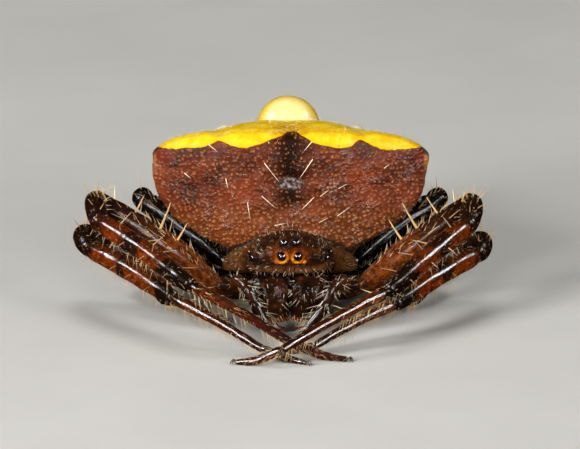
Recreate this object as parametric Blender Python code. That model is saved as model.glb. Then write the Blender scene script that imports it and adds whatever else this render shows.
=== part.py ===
"""A triangle orb weaver, an adult female crouched on a flat floor, in life size.

The spider faces -Y with +Z up, and its own left side is at +X.
Shapes are worked out in millimetres from the point under its front eyes, with
x to its left, y towards its tail and z up from the floor. finish() then moves
them to the row's origin, the middle of the box's bottom, and turns them to metres.
"""

import math
import random

import bmesh
import bpy
import numpy as np
from mathutils import Matrix, Vector

MM = 0.001
ORIGIN_FROM_EYES = (0.0, 2.75, 0.0)
GAP = 0.25

# Driving sizes of the abdomen, in millimetres
ABDOMEN_HALF_WIDTH = 3.85
ABDOMEN_FRONT_Y = 1.95
ABDOMEN_RIM_ROUND = 0.6
ABDOMEN_SWEEP = 0.35
PLATE_FRONT_Z = 5.07
PLATE_SLOPE = 0.2157
KNOB_RADIUS = 0.89
KNOB_CENTRE = (-0.05, 8.0, 3.72)
TUBERCLE_RADIUS = 0.32
TUBERCLE_CENTRE = (1.8, 5.3, 4.12)
BELLY_BULGE_RADIUS = 0.85
BELLY_BULGE_CENTRE = (1.25, 5.1, 1.55)

# Driving sizes of the carapace, in millimetres
HEAD_FRONT_Y = -0.12
HEAD_BACK_Y = 1.38
THORAX_BACK_Y = 3.75
STERNUM_BOTTOM_Z = 0.62

FLOOR_FLAT_SINK = 0.03

rng = random.Random(41)


def clear_scene():
    for obj in list(bpy.data.objects):
        bpy.data.objects.remove(obj, do_unlink=True)


def material(name, color, roughness=0.5, metallic=0.0):
    mat = bpy.data.materials.new(name)
    mat.use_nodes = True
    shader = mat.node_tree.nodes["Principled BSDF"]
    shader.inputs["Base Color"].default_value = (*color, 1.0)
    shader.inputs["Roughness"].default_value = roughness
    shader.inputs["Metallic"].default_value = metallic
    return mat


def along(table, t):
    """A smooth value at t from (t, value) pairs: cubic, with no overshoot."""
    ts = [p[0] for p in table]
    vs = [p[1] for p in table]
    t = min(max(t, ts[0]), ts[-1])
    i = min(max(int(np.searchsorted(ts, t)) - 1, 0), len(ts) - 2)
    steps = [(vs[k + 1] - vs[k]) / (ts[k + 1] - ts[k]) for k in range(len(ts) - 1)]

    def slope(k):
        if k == 0:
            return steps[0]
        if k == len(ts) - 1:
            return steps[-1]
        if steps[k - 1] * steps[k] <= 0:
            return 0.0
        return 2 * steps[k - 1] * steps[k] / (steps[k - 1] + steps[k])

    h = ts[i + 1] - ts[i]
    u = (t - ts[i]) / h
    start = (1 + 2 * u) * (1 - u) ** 2 * vs[i] + u * (1 - u) ** 2 * h * slope(i)
    end = u * u * (3 - 2 * u) * vs[i + 1] - u * u * (1 - u) * h * slope(i + 1)
    return start + end


def power(value, exponent):
    return math.copysign(abs(value) ** exponent, value)


def mesh_object(name, vertices, faces):
    mesh = bpy.data.meshes.new(name)
    mesh.from_pydata([tuple(v) for v in vertices], [], faces)
    bm = bmesh.new()
    bm.from_mesh(mesh)
    bmesh.ops.recalc_face_normals(bm, faces=bm.faces)
    bm.to_mesh(mesh)
    bm.free()
    obj = bpy.data.objects.new(name, mesh)
    bpy.context.scene.collection.objects.link(obj)
    return obj


def loft(name, rings, first, last):
    """A closed solid through equal rings of points, with a fan to a point at each end."""
    count = len(rings[0])
    vertices = [first] + [p for ring in rings for p in ring] + [last]
    faces = []
    for k in range(count):
        faces.append((0, 1 + k, 1 + (k + 1) % count))
    for r in range(len(rings) - 1):
        low = 1 + r * count
        high = low + count
        for k in range(count):
            after = (k + 1) % count
            faces.append((low + k, high + k, high + after, low + after))
    low = 1 + (len(rings) - 1) * count
    for k in range(count):
        faces.append((len(vertices) - 1, low + (k + 1) % count, low + k))
    return mesh_object(name, vertices, faces)


def smooth_path(points, count):
    """count places on a smooth curve through the points, each with its place among them."""
    pts = [Vector(p) for p in points]
    padded = [2 * pts[0] - pts[1]] + pts + [2 * pts[-1] - pts[-2]]
    places = []
    for n in range(count):
        t = n / (count - 1) * (len(pts) - 1)
        i = min(int(t), len(pts) - 2)
        u = t - i
        a, b, c, d = padded[i : i + 4]
        where = (
            (2 * b)
            + (c - a) * u
            + (2 * a - 5 * b + 4 * c - d) * u * u
            + (3 * b - a - 3 * c + d) * u**3
        ) * 0.5
        places.append((where, t))
    return places


def frames_along(places):
    """Direction, side and up of a tube at each place, with up as near +Z as it can be."""
    out = []
    for n, (where, _) in enumerate(places):
        before = places[max(n - 1, 0)][0]
        after = places[min(n + 1, len(places) - 1)][0]
        direction = (after - before).normalized()
        side = direction.cross(Vector((0, 0, 1)))
        if side.length < 0.05:
            side = Vector((1, 0, 0))
        side.normalize()
        out.append((direction, side, side.cross(direction)))
    return out


def tube(name, points, radii, sides, rings, dome_share=0.45):
    """A round limb along the points, with a dome on each end, this share of its radius deep."""
    places = smooth_path(points, rings)
    frames = frames_along(places)
    table = list(enumerate(radii))
    loops = []

    def ring(where, frame, radius):
        _, side, up = frame
        loop = []
        for k in range(sides):
            a = 2 * math.pi * (k + 0.5) / sides
            loop.append(where + (side * math.cos(a) + up * math.sin(a)) * radius)
        return loop

    def dome(end, sign):
        where, t = places[end]
        radius = along(table, t)
        caps = []
        for angle in (30, 62):
            a = math.radians(angle)
            centre = where + frames[end][0] * sign * radius * dome_share * math.sin(a)
            caps.append(ring(centre, frames[end], radius * math.cos(a)))
        return caps, where + frames[end][0] * sign * radius * dome_share

    start, first = dome(0, -1)
    end, last = dome(len(places) - 1, 1)
    loops.extend(reversed(start))
    for (where, t), frame in zip(places, frames):
        loops.append(ring(where, frame, along(table, t)))
    loops.extend(end)
    return loft(name, loops, first, last)


def ball(name, centre, radius, segments=16, rows=10, scale=(1, 1, 1)):
    bm = bmesh.new()
    bmesh.ops.create_uvsphere(
        bm, u_segments=segments, v_segments=rows, radius=radius
    )
    bmesh.ops.scale(bm, vec=Vector(scale), verts=bm.verts)
    bmesh.ops.translate(bm, vec=Vector(centre), verts=bm.verts)
    mesh = bpy.data.meshes.new(name)
    bm.to_mesh(mesh)
    bm.free()
    obj = bpy.data.objects.new(name, mesh)
    bpy.context.scene.collection.objects.link(obj)
    return obj


def keep_largest(obj):
    """Keeps only the largest closed surface of the object's mesh."""
    bm = bmesh.new()
    bm.from_mesh(obj.data)
    unseen = set(bm.faces)
    groups = []
    while unseen:
        seed = unseen.pop()
        group = {seed}
        front = [seed]
        while front:
            face = front.pop()
            for edge in face.edges:
                for other in edge.link_faces:
                    if other in unseen:
                        unseen.discard(other)
                        group.add(other)
                        front.append(other)
        groups.append(group)
    groups.sort(key=lambda g: -sum(f.calc_area() for f in g))
    extra = [f for g in groups[1:] for f in g]
    bmesh.ops.delete(bm, geom=extra, context="FACES")
    bmesh.ops.recalc_face_normals(bm, faces=bm.faces)
    bm.to_mesh(obj.data)
    bm.free()


def combine(body, others, operation):
    """Applies one Boolean of body with all the others, which are then removed."""
    if not others:
        return body
    group = bpy.data.collections.new(body.name + "_pieces")
    bpy.context.scene.collection.children.link(group)
    for other in others:
        bpy.context.scene.collection.objects.unlink(other)
        group.objects.link(other)
    modifier = body.modifiers.new("combine", "BOOLEAN")
    modifier.operation = operation
    modifier.operand_type = "COLLECTION"
    modifier.collection = group
    modifier.solver = "EXACT"
    graph = bpy.context.evaluated_depsgraph_get()
    mesh = bpy.data.meshes.new_from_object(body.evaluated_get(graph))
    body.modifiers.clear()
    body.data = mesh
    for other in others:
        bpy.data.objects.remove(other, do_unlink=True)
    bpy.data.collections.remove(group)
    keep_largest(body)
    return body


def spine(root, outward, lean, length, thick):
    """A tapering bristle of five sides, sunk into what it grows from."""
    direction = (outward + lean).normalized()
    side = direction.orthogonal().normalized()
    other = direction.cross(side)
    base = root - direction * thick * 1.2
    loop = []
    for k in range(5):
        a = 2 * math.pi * k / 5
        loop.append(base + (side * math.cos(a) + other * math.sin(a)) * thick / 2)
    tip = root + direction * length
    return loft("spine", [loop], base, tip)


def spines_on(points, radii, rows, sign=1):
    """Bristles on a limb. A row gives its angle from up, shares of the way along, length
    and thickness. On both sides of the body, an angle above 0 leans the same way."""
    spines = []
    table = list(enumerate(radii))
    places = smooth_path(points, 41)
    frames = frames_along(places)
    for angle, shares, length, thick in rows:
        for share in shares:
            n = round((share + rng.uniform(-0.02, 0.02)) * (len(places) - 1))
            where, t = places[n]
            direction, side, up = frames[n]
            a = math.radians(angle + rng.uniform(-8, 8))
            outward = up * math.cos(a) + side * sign * math.sin(a)
            root = where + outward * along(table, t) * 0.9
            reach = length * rng.uniform(0.85, 1.1)
            spines.append(spine(root, outward, direction * 0.45, reach, thick))
    return spines


def press_to_floor(obj):
    """Flattens what would lie below the floor, so that the foot rests on a flat."""
    for vertex in obj.data.vertices:
        vertex.co.z = max(vertex.co.z, 0.0)


def finish(obj, mat):
    shift = Matrix.Translation(-Vector(ORIGIN_FROM_EYES))
    obj.data.transform(Matrix.Scale(MM, 4) @ shift)
    obj.data.materials.clear()
    obj.data.materials.append(mat)
    obj.data.shade_smooth()
    obj.data.set_sharp_from_angle(angle=math.radians(50))
    return obj


# The carapace: head in front and thorax behind it


def carapace_ring(y, grow=0.0, count=28):
    """One cross-section of the carapace at y, made larger all round by grow."""
    half = along(
        (
            (-0.12, 0.97), (0.3, 1.16), (0.9, 1.21), (1.35, 1.22),
            (1.8, 1.58), (2.3, 1.9), (2.8, 1.82), (3.3, 1.4), (3.75, 0.72),
        ),
        y,
    )
    top = along(
        (
            (-0.12, 2.48), (0.3, 2.65), (0.9, 2.73), (1.38, 2.6),
            (1.8, 2.33), (2.3, 2.0), (2.8, 1.77), (3.3, 1.58), (3.75, 1.44),
        ),
        y,
    )
    middle = along(((-0.12, 2.0), (0.9, 1.89), (1.4, 1.7), (2.1, 1.41), (3.75, 1.28)), y)
    bottom = along(((-0.12, 1.72), (0.9, 1.57), (1.4, 1.4), (2.1, 1.35), (3.75, 1.1)), y)
    loop = []
    for k in range(count):
        a = 2 * math.pi * k / count
        rise = math.sin(a)
        x = (half + grow) * power(math.cos(a), 2 / 2.2)
        if rise >= 0:
            z = middle + (top + grow - middle) * power(rise, 2 / 2.1)
        else:
            z = middle + (middle - bottom + grow) * power(rise, 2 / 2.8)
        loop.append(Vector((x, y, z)))
    return loop


def blunt_front(loop, front, depth, shares, sharpness):
    """Rings that close a loop at its front with a rounded, nearly flat face."""
    centre = sum(loop, Vector()) / len(loop)
    rings = []
    for share in shares:
        back = depth * (1 - (1 - share**sharpness) ** (1 / sharpness))
        ring = []
        for point in loop:
            moved = centre.lerp(point, share)
            moved.y = front + back + (point.y - centre.y) * share**2
            ring.append(moved)
        rings.append(ring)
    return rings, Vector((centre.x, front, centre.z))


def carapace(name, ys, front, grow=0.0):
    loops = [carapace_ring(y, grow) for y in ys]
    centre_last = sum(loops[-1], Vector()) / len(loops[-1])
    if not front:
        centre_first = sum(loops[0], Vector()) / len(loops[0])
        return loft(name, loops, centre_first, centre_last)
    face, pole = blunt_front(loops[0], front[0], front[1], (0.45, 0.75, 0.92), 2.4)
    return loft(name, face + loops, pole, centre_last)


EYES = {
    "eye_front_middle": ((0.23, -0.11, 2.25), 0.135),
    "eye_rear_middle": ((0.19, 0.1, 2.6), 0.12),
    "eye_front_side": ((1.0, 0.2, 2.16), 0.1),
    "eye_rear_side": ((1.09, 0.42, 2.24), 0.1),
}


def make_head(mats):
    head = carapace("head", (0.12, 0.3, 0.55, 0.8, 1.05, 1.25, HEAD_BACK_Y), (HEAD_FRONT_Y, 0.24))
    mount = ball("eye_mound", (0.0, 0.2, 2.36), 0.5, 20, 12, (0.92, 0.72, 0.86))
    combine(head, [mount], "UNION")
    sockets = []
    for name, (centre, radius) in EYES.items():
        for sign in (1, -1):
            place = (centre[0] * sign, centre[1], centre[2])
            sockets.append(ball("socket", place, radius + 0.05, 10, 6))
    combine(head, sockets, "DIFFERENCE")
    finish(head, mats["head"])
    for name, (centre, radius) in EYES.items():
        for sign, word in ((1, "left"), (-1, "right")):
            place = (centre[0] * sign, centre[1], centre[2])
            eye = ball(f"{name}_{word}", place, radius, 10, 6)
            finish(eye, mats["eye"])


def make_thorax(mats):
    ys = (HEAD_BACK_Y + GAP, 1.85, 2.1, 2.4, 2.8, 3.2, 3.55, THORAX_BACK_Y)
    thorax = carapace("thorax", ys, None)
    rings = []
    shape = ((0.92, 0.5), (1.2, 0.62), (2.0, 0.72), (2.9, 0.55), (3.4, 0.34))
    for y in (0.92, 1.2, 1.55, 1.8, 2.2, 2.8, 3.4):
        half = along(shape, y)
        loop = []
        for k in range(12):
            a = 2 * math.pi * (k + 0.5) / 12
            x = half * power(math.cos(a), 0.7)
            z = 1.08 + (1.08 - STERNUM_BOTTOM_Z) * power(math.sin(a), 0.7)
            if y < 1.6:
                z = min(z, 1.2)
            loop.append(Vector((x, y, z)))
        rings.append(loop)
    sternum = loft("sternum", rings, Vector((0, 0.88, 0.9)), Vector((0, 3.44, 1.05)))
    combine(thorax, [sternum], "UNION")
    finish(thorax, mats["thorax"])


# The abdomen: a triangular plate on a deep, narrowing body, with a ball at its tail


def plate_height(y):
    return PLATE_FRONT_Z - (y - 2.7) * PLATE_SLOPE


def abdomen_ring(y, count=40):
    half = along(
        (
            (2.55, ABDOMEN_HALF_WIDTH), (3.2, 3.7), (4.0, 3.14), (5.0, 2.4),
            (6.0, 1.82), (7.0, 1.38), (7.7, 1.0), (8.0, 0.75),
        ),
        y,
    )
    widest = along(((2.55, 4.3), (4.0, 4.08), (5.0, 3.92), (6.0, 3.72), (8.0, 3.42)), y)
    bottom = along(
        (
            (2.55, 1.5), (3.2, 1.44), (4.0, 1.1), (4.7, 0.92), (5.3, 0.9),
            (6.0, 1.3), (6.8, 2.0), (7.4, 2.55), (8.0, 3.05),
        ),
        y,
    )
    squared = along(((2.55, 2.3), (4.0, 2.9), (6.0, 3.8), (8.0, 3.0)), y)
    narrow = along(((2.55, 1.6), (3.4, 1.85), (4.4, 1.95), (5.4, 1.95), (8.0, 1.8)), y)
    full = along(((2.55, 2.6), (4.4, 2.55), (5.4, 2.3), (8.0, 2.2)), y)
    top = plate_height(y)
    loop = []
    for k in range(count):
        a = 2 * math.pi * k / count
        rise = math.sin(a)
        if rise >= 0:
            x = half * power(math.cos(a), 2 / squared)
            z = widest + (top - widest) * power(rise, 2 / squared)
        else:
            x = half * power(math.cos(a), 2 / narrow)
            z = widest + (widest - bottom) * power(rise, 2 / full)
        fade = max(0.0, 1 - (y - 2.55) / 3.0)
        sweep = ABDOMEN_SWEEP * fade * (x / ABDOMEN_HALF_WIDTH) ** 2
        loop.append(Vector((x, y + sweep, z)))
    return loop


def make_abdomen(mats):
    loops = [abdomen_ring(y) for y in (2.55, 2.9, 3.3, 3.8, 4.4, 5.0, 5.6, 6.2, 6.8, 7.4, 7.8)]
    face, pole = blunt_front(
        loops[0], ABDOMEN_FRONT_Y, ABDOMEN_RIM_ROUND, (0.3, 0.55, 0.75, 0.88, 0.96), 2.6
    )
    tail = sum(loops[-1], Vector()) / len(loops[-1]) + Vector((0, 0.15, 0))
    abdomen = loft("abdomen", face + loops, pole, tail)
    knobs = [ball("knob", KNOB_CENTRE, KNOB_RADIUS, 24, 14)]
    for sign in (1, -1):
        place = (TUBERCLE_CENTRE[0] * sign, TUBERCLE_CENTRE[1], TUBERCLE_CENTRE[2])
        knobs.append(ball("tubercle", place, TUBERCLE_RADIUS, 12, 8))
        place = (BELLY_BULGE_CENTRE[0] * sign, BELLY_BULGE_CENTRE[1], BELLY_BULGE_CENTRE[2])
        knobs.append(ball("belly_bulge", place, BELLY_BULGE_RADIUS, 18, 11))
    combine(abdomen, knobs, "UNION")
    room = carapace("room", (1.2, 1.6, 2.0, 2.4, 2.8, 3.2, 3.6, THORAX_BACK_Y + 0.3), None, 0.28)
    pit = ball("pit", (0, 4.0, 1.2), 0.52, 16, 10)
    combine(abdomen, [room, pit], "DIFFERENCE")
    finish(abdomen, mats["abdomen"])


def make_pedicel(mats):
    pedicel = tube("pedicel", ((0, 3.98, 1.2), (0, 4.2, 1.22)), (0.24, 0.26), 12, 3)
    finish(pedicel, mats["thorax"])


def make_spinnerets(mats):
    base = tube("spinnerets", ((0, 5.45, 0.58), (0, 5.6, 0.42)), (0.4, 0.3), 14, 3)
    cones = []
    for sign in (1, -1):
        for y, reach in ((5.45, 0.3), (5.72, 0.28)):
            start = (0.14 * sign, y, 0.45)
            tip = (0.1 * sign, y + 0.12, 0.45 - reach)
            cones.append(tube("cone", (start, tip), (0.15, 0.08), 8, 3))
    combine(base, cones, "UNION")
    finish(base, mats["thorax"])


# The mouthparts


def make_chelicera(word, sign, mats):
    levels = (
        (1.47, 0.6, 0.28, 0.42, 0.36), (1.38, 0.62, 0.21, 0.49, 0.46),
        (1.1, 0.65, 0.1, 0.53, 0.51), (0.85, 0.61, 0.07, 0.49, 0.48),
        (0.62, 0.53, 0.08, 0.41, 0.4), (0.5, 0.47, 0.1, 0.33, 0.31),
    )
    rings = []
    for z, x, y, half_x, half_y in levels:
        loop = []
        for k in range(14):
            a = 2 * math.pi * k / 14
            loop.append(
                Vector((sign * (x + half_x * math.cos(a)), y + half_y * math.sin(a), z))
            )
        rings.append(loop)
    top = Vector((sign * 0.57, 0.3, 1.49))
    low = Vector((sign * 0.48, 0.1, 0.45))
    chelicera = loft(f"chelicera_{word}", rings, top, low)
    finish(chelicera, mats["head"])
    points = ((0.52, 0.02, 0.24), (0.34, -0.04, 0.2), (0.14, 0.05, 0.17))
    path = [(sign * x, y, z) for x, y, z in points]
    fang = tube(f"fang_{word}", path, (0.13, 0.1, 0.04), 8, 5)
    finish(fang, mats["fang"])


PALP_TIP_X = {"left": 0.3, "right": 0.48}


def make_palp(word, sign, mats):
    upper = ((1.02, 0.74, 1.05), (1.46, 0.42, 1.28), (1.52, 0.0, 1.52), (1.32, -0.36, 1.6))
    path = [(sign * x, y, z) for x, y, z in upper]
    radii = (0.15, 0.19, 0.2, 0.17)
    obj = tube(f"palp_{word}_femur", path, radii, 8, 8)
    finish(obj, mats["leg_foot"])
    tip = PALP_TIP_X[word]
    lower = (
        (1.13, -0.62, 1.42), (1.0, -0.72, 1.15), (0.84, -0.8, 0.84),
        ((0.84 + tip) / 2, -0.9, 0.54), (tip, -0.96, 0.3),
    )
    path = [(sign * x, y, z) for x, y, z in lower]
    radii = (0.16, 0.17, 0.17, 0.15, 0.1)
    obj = tube(f"palp_{word}_tarsus", path, radii, 8, 9)
    rows = ((50, (0.35, 0.6), 0.32, 0.1), (-50, (0.35, 0.6), 0.32, 0.1))
    combine(obj, spines_on(path, radii, rows, sign), "UNION")
    finish(obj, mats["leg_foot"])


# The legs: joints of the right side's legs, with x outwards from the midline

LEG_JOINTS = {
    "leg1": {
        "coxa": (1.02, 1.34, 0.9),
        "trochanter": (1.5, 1.06, 0.97),
        "femur": (2.0, 0.95, 1.14),
        "femur_mid": (3.45, 1.75, 2.03),
        "knee": (5.43, 2.88, 3.06),
        "patella": (5.28, 1.4, 2.82),
        "tibia": (2.78, -1.7, 1.92),
        "metatarsus": (0.0, -2.33, 0.45),
        "claw": (-1.55, -2.74, 0.11),
    },
    "leg2": {
        "coxa": (1.05, 1.98, 0.86),
        "trochanter": (1.58, 1.9, 0.84),
        "femur": (2.1, 1.92, 0.88),
        "femur_mid": (3.5, 2.5, 1.16),
        "knee": (5.72, 3.46, 1.86),
        "patella": (5.56, 2.05, 1.88),
        "tibia": (3.25, -0.78, 1.28),
        "metatarsus": (0.78, -2.26, 0.24),
        "claw": (-0.42, -3.07, 0.1),
    },
    "leg3": {
        "coxa": (1.02, 2.58, 0.84),
        "trochanter": (1.55, 2.64, 0.82),
        "femur": (2.05, 2.8, 0.9),
        "femur_mid": (2.95, 3.6, 1.1),
        "knee": (3.95, 4.4, 1.32),
        "patella": (4.3, 3.95, 0.86),
        "tibia": (3.5, 2.3, 0.33),
        "metatarsus": (2.45, 1.55, 0.2),
        "claw": (1.75, 1.15, 0.1),
    },
    "leg4": {
        "coxa": (0.84, 3.22, 0.84),
        "trochanter": (1.3, 3.5, 0.84),
        "femur": (1.8, 3.85, 0.95),
        "femur_mid": (2.9, 4.6, 1.66),
        "knee": (4.15, 5.36, 2.34),
        "patella": (4.05, 6.4, 2.0),
        "tibia": (2.55, 8.4, 0.72),
        "metatarsus": (1.85, 6.2, 0.24),
        "claw": (1.6, 5.1, 0.11),
    },
}

# The left side holds its front legs a little differently, as they cross
LEFT_CHANGES = {
    "leg1": {
        "knee": (5.08, 2.88, 2.98),
        "patella": (4.95, 1.4, 2.74),
        "tibia": (2.75, -1.65, 1.75),
        "metatarsus": (-0.19, -3.2, 0.5),
        "claw": (-1.46, -3.02, 0.11),
    },
    "leg2": {
        "knee": (5.3, 3.42, 1.66),
        "patella": (5.2, 2.05, 1.72),
        "tibia": (2.95, -0.75, 1.12),
        "metatarsus": (0.68, -1.95, 0.24),
        "claw": (-0.28, -1.86, 0.1),
    },
}

LEG_RADII = {
    "leg1": {"coxa": 0.27, "femur": 0.41, "knee": 0.3, "tibia": 0.3, "ankle": 0.2, "foot": 0.17},
    "leg2": {"coxa": 0.27, "femur": 0.38, "knee": 0.33, "tibia": 0.29, "ankle": 0.19, "foot": 0.16},
    "leg3": {"coxa": 0.26, "femur": 0.32, "knee": 0.22, "tibia": 0.21, "ankle": 0.17, "foot": 0.15},
    "leg4": {"coxa": 0.26, "femur": 0.36, "knee": 0.27, "tibia": 0.26, "ankle": 0.19, "foot": 0.16},
}

FEMUR_SPINES = {
    "leg1": ((0, (0.62, 0.74, 0.87), 0.8, 0.15), (65, (0.7, 0.84), 0.5, 0.13)),
    "leg2": ((0, (0.66, 0.84), 0.45, 0.13),),
    "leg3": (),
    "leg4": ((45, (0.6, 0.78), 0.6, 0.14),),
}
TIBIA_SPINES = {
    "leg1": ((10, (0.25, 0.62), 0.5, 0.13), (70, (0.45, 0.62, 0.82), 0.48, 0.12)),
    "leg2": ((-40, (0.3, 0.62), 0.45, 0.12), (-80, (0.45, 0.62, 0.82), 0.45, 0.12)),
    "leg3": (),
    "leg4": ((0, (0.3, 0.6), 0.45, 0.12), (-70, (0.45, 0.65, 0.82), 0.42, 0.12)),
}
FOOT_SPINES = ((60, (0.15, 0.38), 0.36, 0.1), (-60, (0.22, 0.46), 0.36, 0.1))


def shortened(start, end, by):
    """The point on the way from start to end that stops short of end by this length."""
    a = Vector(start)
    b = Vector(end)
    return b - (b - a).normalized() * by


def limb(name, path, radii, sides, rings, cut_by, rows, sign):
    """A length of a leg, cut clear of the length before it and then set with bristles."""
    obj = tube(name, path, radii, sides, rings)
    if cut_by:
        path_before, radii_before = cut_by
        wider = [r + GAP for r in radii_before]
        end_dome = (0.45 * radii_before[-1] + GAP) / wider[-1]
        room = tube("room", path_before, wider, 12, 13, end_dome)
        combine(obj, [room], "DIFFERENCE")
    if rows:
        combine(obj, spines_on(path, radii, rows, sign), "UNION")
    return obj


def make_leg(leg, word, sign, mats):
    joints = dict(LEG_JOINTS[leg])
    if word == "left":
        joints.update(LEFT_CHANGES.get(leg, {}))
    at = {name: Vector((sign * p[0], p[1], p[2])) for name, p in joints.items()}
    size = LEG_RADII[leg]

    path = (at["coxa"], at["trochanter"], at["femur"], at["femur_mid"], at["knee"])
    radii = (size["coxa"], size["coxa"] * 1.06, size["coxa"], size["femur"], size["knee"])
    rows = FEMUR_SPINES[leg]
    femur = limb(f"{leg}_{word}_femur", path, radii, 10, 13, None, rows, sign)
    finish(femur, mats["leg"])
    femur_form = (path, radii)

    over_knee = at["knee"].lerp(at["patella"], 0.5) + Vector((sign * 0.04, 0, 0.1))
    middle = at["patella"].lerp(at["tibia"], 0.45) + Vector((0, 0, 0.06))
    path = (at["knee"], over_knee, at["patella"], middle, at["tibia"])
    radii = (
        size["knee"], size["knee"] * 1.06, size["tibia"] * 1.02,
        size["tibia"], size["tibia"] * 0.82,
    )
    rows = TIBIA_SPINES[leg]
    tibia = limb(f"{leg}_{word}_tibia", path, radii, 10, 13, femur_form, rows, sign)
    finish(tibia, mats["leg"])
    tibia_form = (path, radii)

    claw = at["claw"]
    claw.z = size["foot"] * 0.7 - FLOOR_FLAT_SINK
    sole = at["metatarsus"].lerp(claw, 0.55)
    sole.z = claw.z + 0.2 * (at["metatarsus"].z - claw.z)
    half_way = at["tibia"].lerp(at["metatarsus"], 0.5) + Vector((0, 0, 0.05))
    path = (at["tibia"], half_way, at["metatarsus"], sole, claw)
    foot_size = size["foot"]
    radii = (size["ankle"], size["ankle"] * 0.92, foot_size, foot_size * 0.9, foot_size * 0.75)
    foot = limb(f"{leg}_{word}_foot", path, radii, 8, 14, tibia_form, FOOT_SPINES, sign)
    press_to_floor(foot)
    finish(foot, mats["leg_foot"])


def main():
    clear_scene()
    mats = {
        "head": material("head", (0.10, 0.035, 0.014), 0.38),
        "thorax": material("thorax", (0.21, 0.11, 0.055), 0.45),
        "abdomen": material("abdomen", (0.26, 0.09, 0.045), 0.5),
        "leg": material("leg", (0.20, 0.055, 0.016), 0.4),
        "leg_foot": material("leg_foot", (0.10, 0.022, 0.010), 0.4),
        "eye": material("eye", (0.012, 0.008, 0.012), 0.08),
        "fang": material("fang", (0.22, 0.06, 0.015), 0.25),
    }
    make_head(mats)
    make_thorax(mats)
    make_pedicel(mats)
    make_abdomen(mats)
    make_spinnerets(mats)
    for word, sign in (("left", 1), ("right", -1)):
        make_chelicera(word, sign, mats)
        make_palp(word, sign, mats)
        for leg in LEG_JOINTS:
            make_leg(leg, word, sign, mats)


main()
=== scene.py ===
"""The looks of a triangle orb weaver, crouched on a pale floor and seen from the front.

Shapes are worked out in millimetres from the point under the spider's front eyes, with
x to its left, y towards its tail and z up from the floor, and to_row() moves them to the
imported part's frame in metres. Skins are grids of points, and the hairs are set on them.
"""

import math

import bpy
import numpy as np
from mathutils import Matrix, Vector


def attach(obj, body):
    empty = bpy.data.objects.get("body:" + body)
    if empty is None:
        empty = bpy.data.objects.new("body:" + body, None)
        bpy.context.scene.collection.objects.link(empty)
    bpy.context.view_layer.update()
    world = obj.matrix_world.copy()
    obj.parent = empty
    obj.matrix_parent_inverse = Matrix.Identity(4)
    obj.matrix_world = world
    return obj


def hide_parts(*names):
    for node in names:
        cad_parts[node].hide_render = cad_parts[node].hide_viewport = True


MM = 0.001
ORIGIN_FROM_EYES = np.array((0.0, 2.75, 0.0))
UP = np.array((0.0, 0.0, 1.0))
# The photo's view looks down by 16 degrees, which makes these the shares of z and y in
# the height seen there
VIEW_UPRIGHT = 0.9613
VIEW_TILT = 0.2756
WAVES = 9
WHOLE_MAP = (0.0, 0.0, 1.0, 1.0)
# The unwrap's free edge, and the radius of one hair's patch on it
MAP_MARGIN = 0.004
HAIR_PATCH = 0.0015
# How deep hairs are rooted, how near the floor they may come, and the shortest cut
ROOT_DEPTH = 0.012
FLOOR_GAP = 0.015
SHORTEST_HAIR = 0.01
# The angles of a dome's rings, and the middle of a grid's cell
DOME_ANGLES = (82, 70, 56, 40, 22)
CELL_MIDDLE = np.full((1, 1), 0.5)

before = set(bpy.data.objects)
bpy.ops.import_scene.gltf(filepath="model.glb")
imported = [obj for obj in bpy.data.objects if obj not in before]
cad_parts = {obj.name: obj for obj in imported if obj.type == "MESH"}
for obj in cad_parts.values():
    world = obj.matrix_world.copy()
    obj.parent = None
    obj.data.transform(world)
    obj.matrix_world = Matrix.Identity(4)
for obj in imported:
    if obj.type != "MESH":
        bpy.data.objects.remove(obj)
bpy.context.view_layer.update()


# Tables, curves and frames


def along(table, t):
    """Smooth values at t from (t, value) pairs: cubic, with no overshoot."""
    ts = np.array([p[0] for p in table], float)
    vs = np.array([p[1] for p in table], float)
    t = np.clip(np.asarray(t, float), ts[0], ts[-1])
    steps = np.diff(vs) / np.diff(ts)
    slopes = np.zeros(len(ts))
    slopes[0] = steps[0]
    slopes[-1] = steps[-1]
    for k in range(1, len(ts) - 1):
        if steps[k - 1] * steps[k] > 0:
            slopes[k] = 2 * steps[k - 1] * steps[k] / (steps[k - 1] + steps[k])
    i = np.clip(np.searchsorted(ts, t, side="right") - 1, 0, len(ts) - 2)
    h = ts[i + 1] - ts[i]
    u = (t - ts[i]) / h
    start = (1 + 2 * u) * (1 - u) ** 2 * vs[i] + u * (1 - u) ** 2 * h * slopes[i]
    end = u * u * (3 - 2 * u) * vs[i + 1] - u * u * (1 - u) * h * slopes[i + 1]
    return start + end


def ease(low, high, value):
    """0 below low, 1 above high and smooth between them."""
    u = np.clip((np.asarray(value, float) - low) / (high - low), 0, 1)
    return u * u * (3 - 2 * u)


def power(value, exponent):
    return np.sign(value) * np.abs(value) ** exponent


def hump(offset, width, other=0.0, other_width=1.0):
    """1 at no offset, and less by a bell curve of this width, across two ways if need be."""
    return np.exp(-((offset / width) ** 2) - ((other / other_width) ** 2))


def unit(v):
    return v / np.maximum(np.linalg.norm(v, axis=-1, keepdims=True), 1e-12)


def smooth_path(points, shares):
    """Places on a smooth curve through the points, at shares from 0 to 1 of its points."""
    pts = np.array(points, float)
    padded = np.vstack((2 * pts[0] - pts[1], pts, 2 * pts[-1] - pts[-2]))
    t = np.asarray(shares, float) * (len(pts) - 1)
    i = np.clip(t.astype(int), 0, len(pts) - 2)
    u = (t - i)[:, None]
    a, b, c, d = padded[i], padded[i + 1], padded[i + 2], padded[i + 3]
    bend = (2 * a - 5 * b + 4 * c - d) * u * u
    turn = (3 * b - a - 3 * c + d) * u**3
    return (2 * b + (c - a) * u + bend + turn) * 0.5


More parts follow.
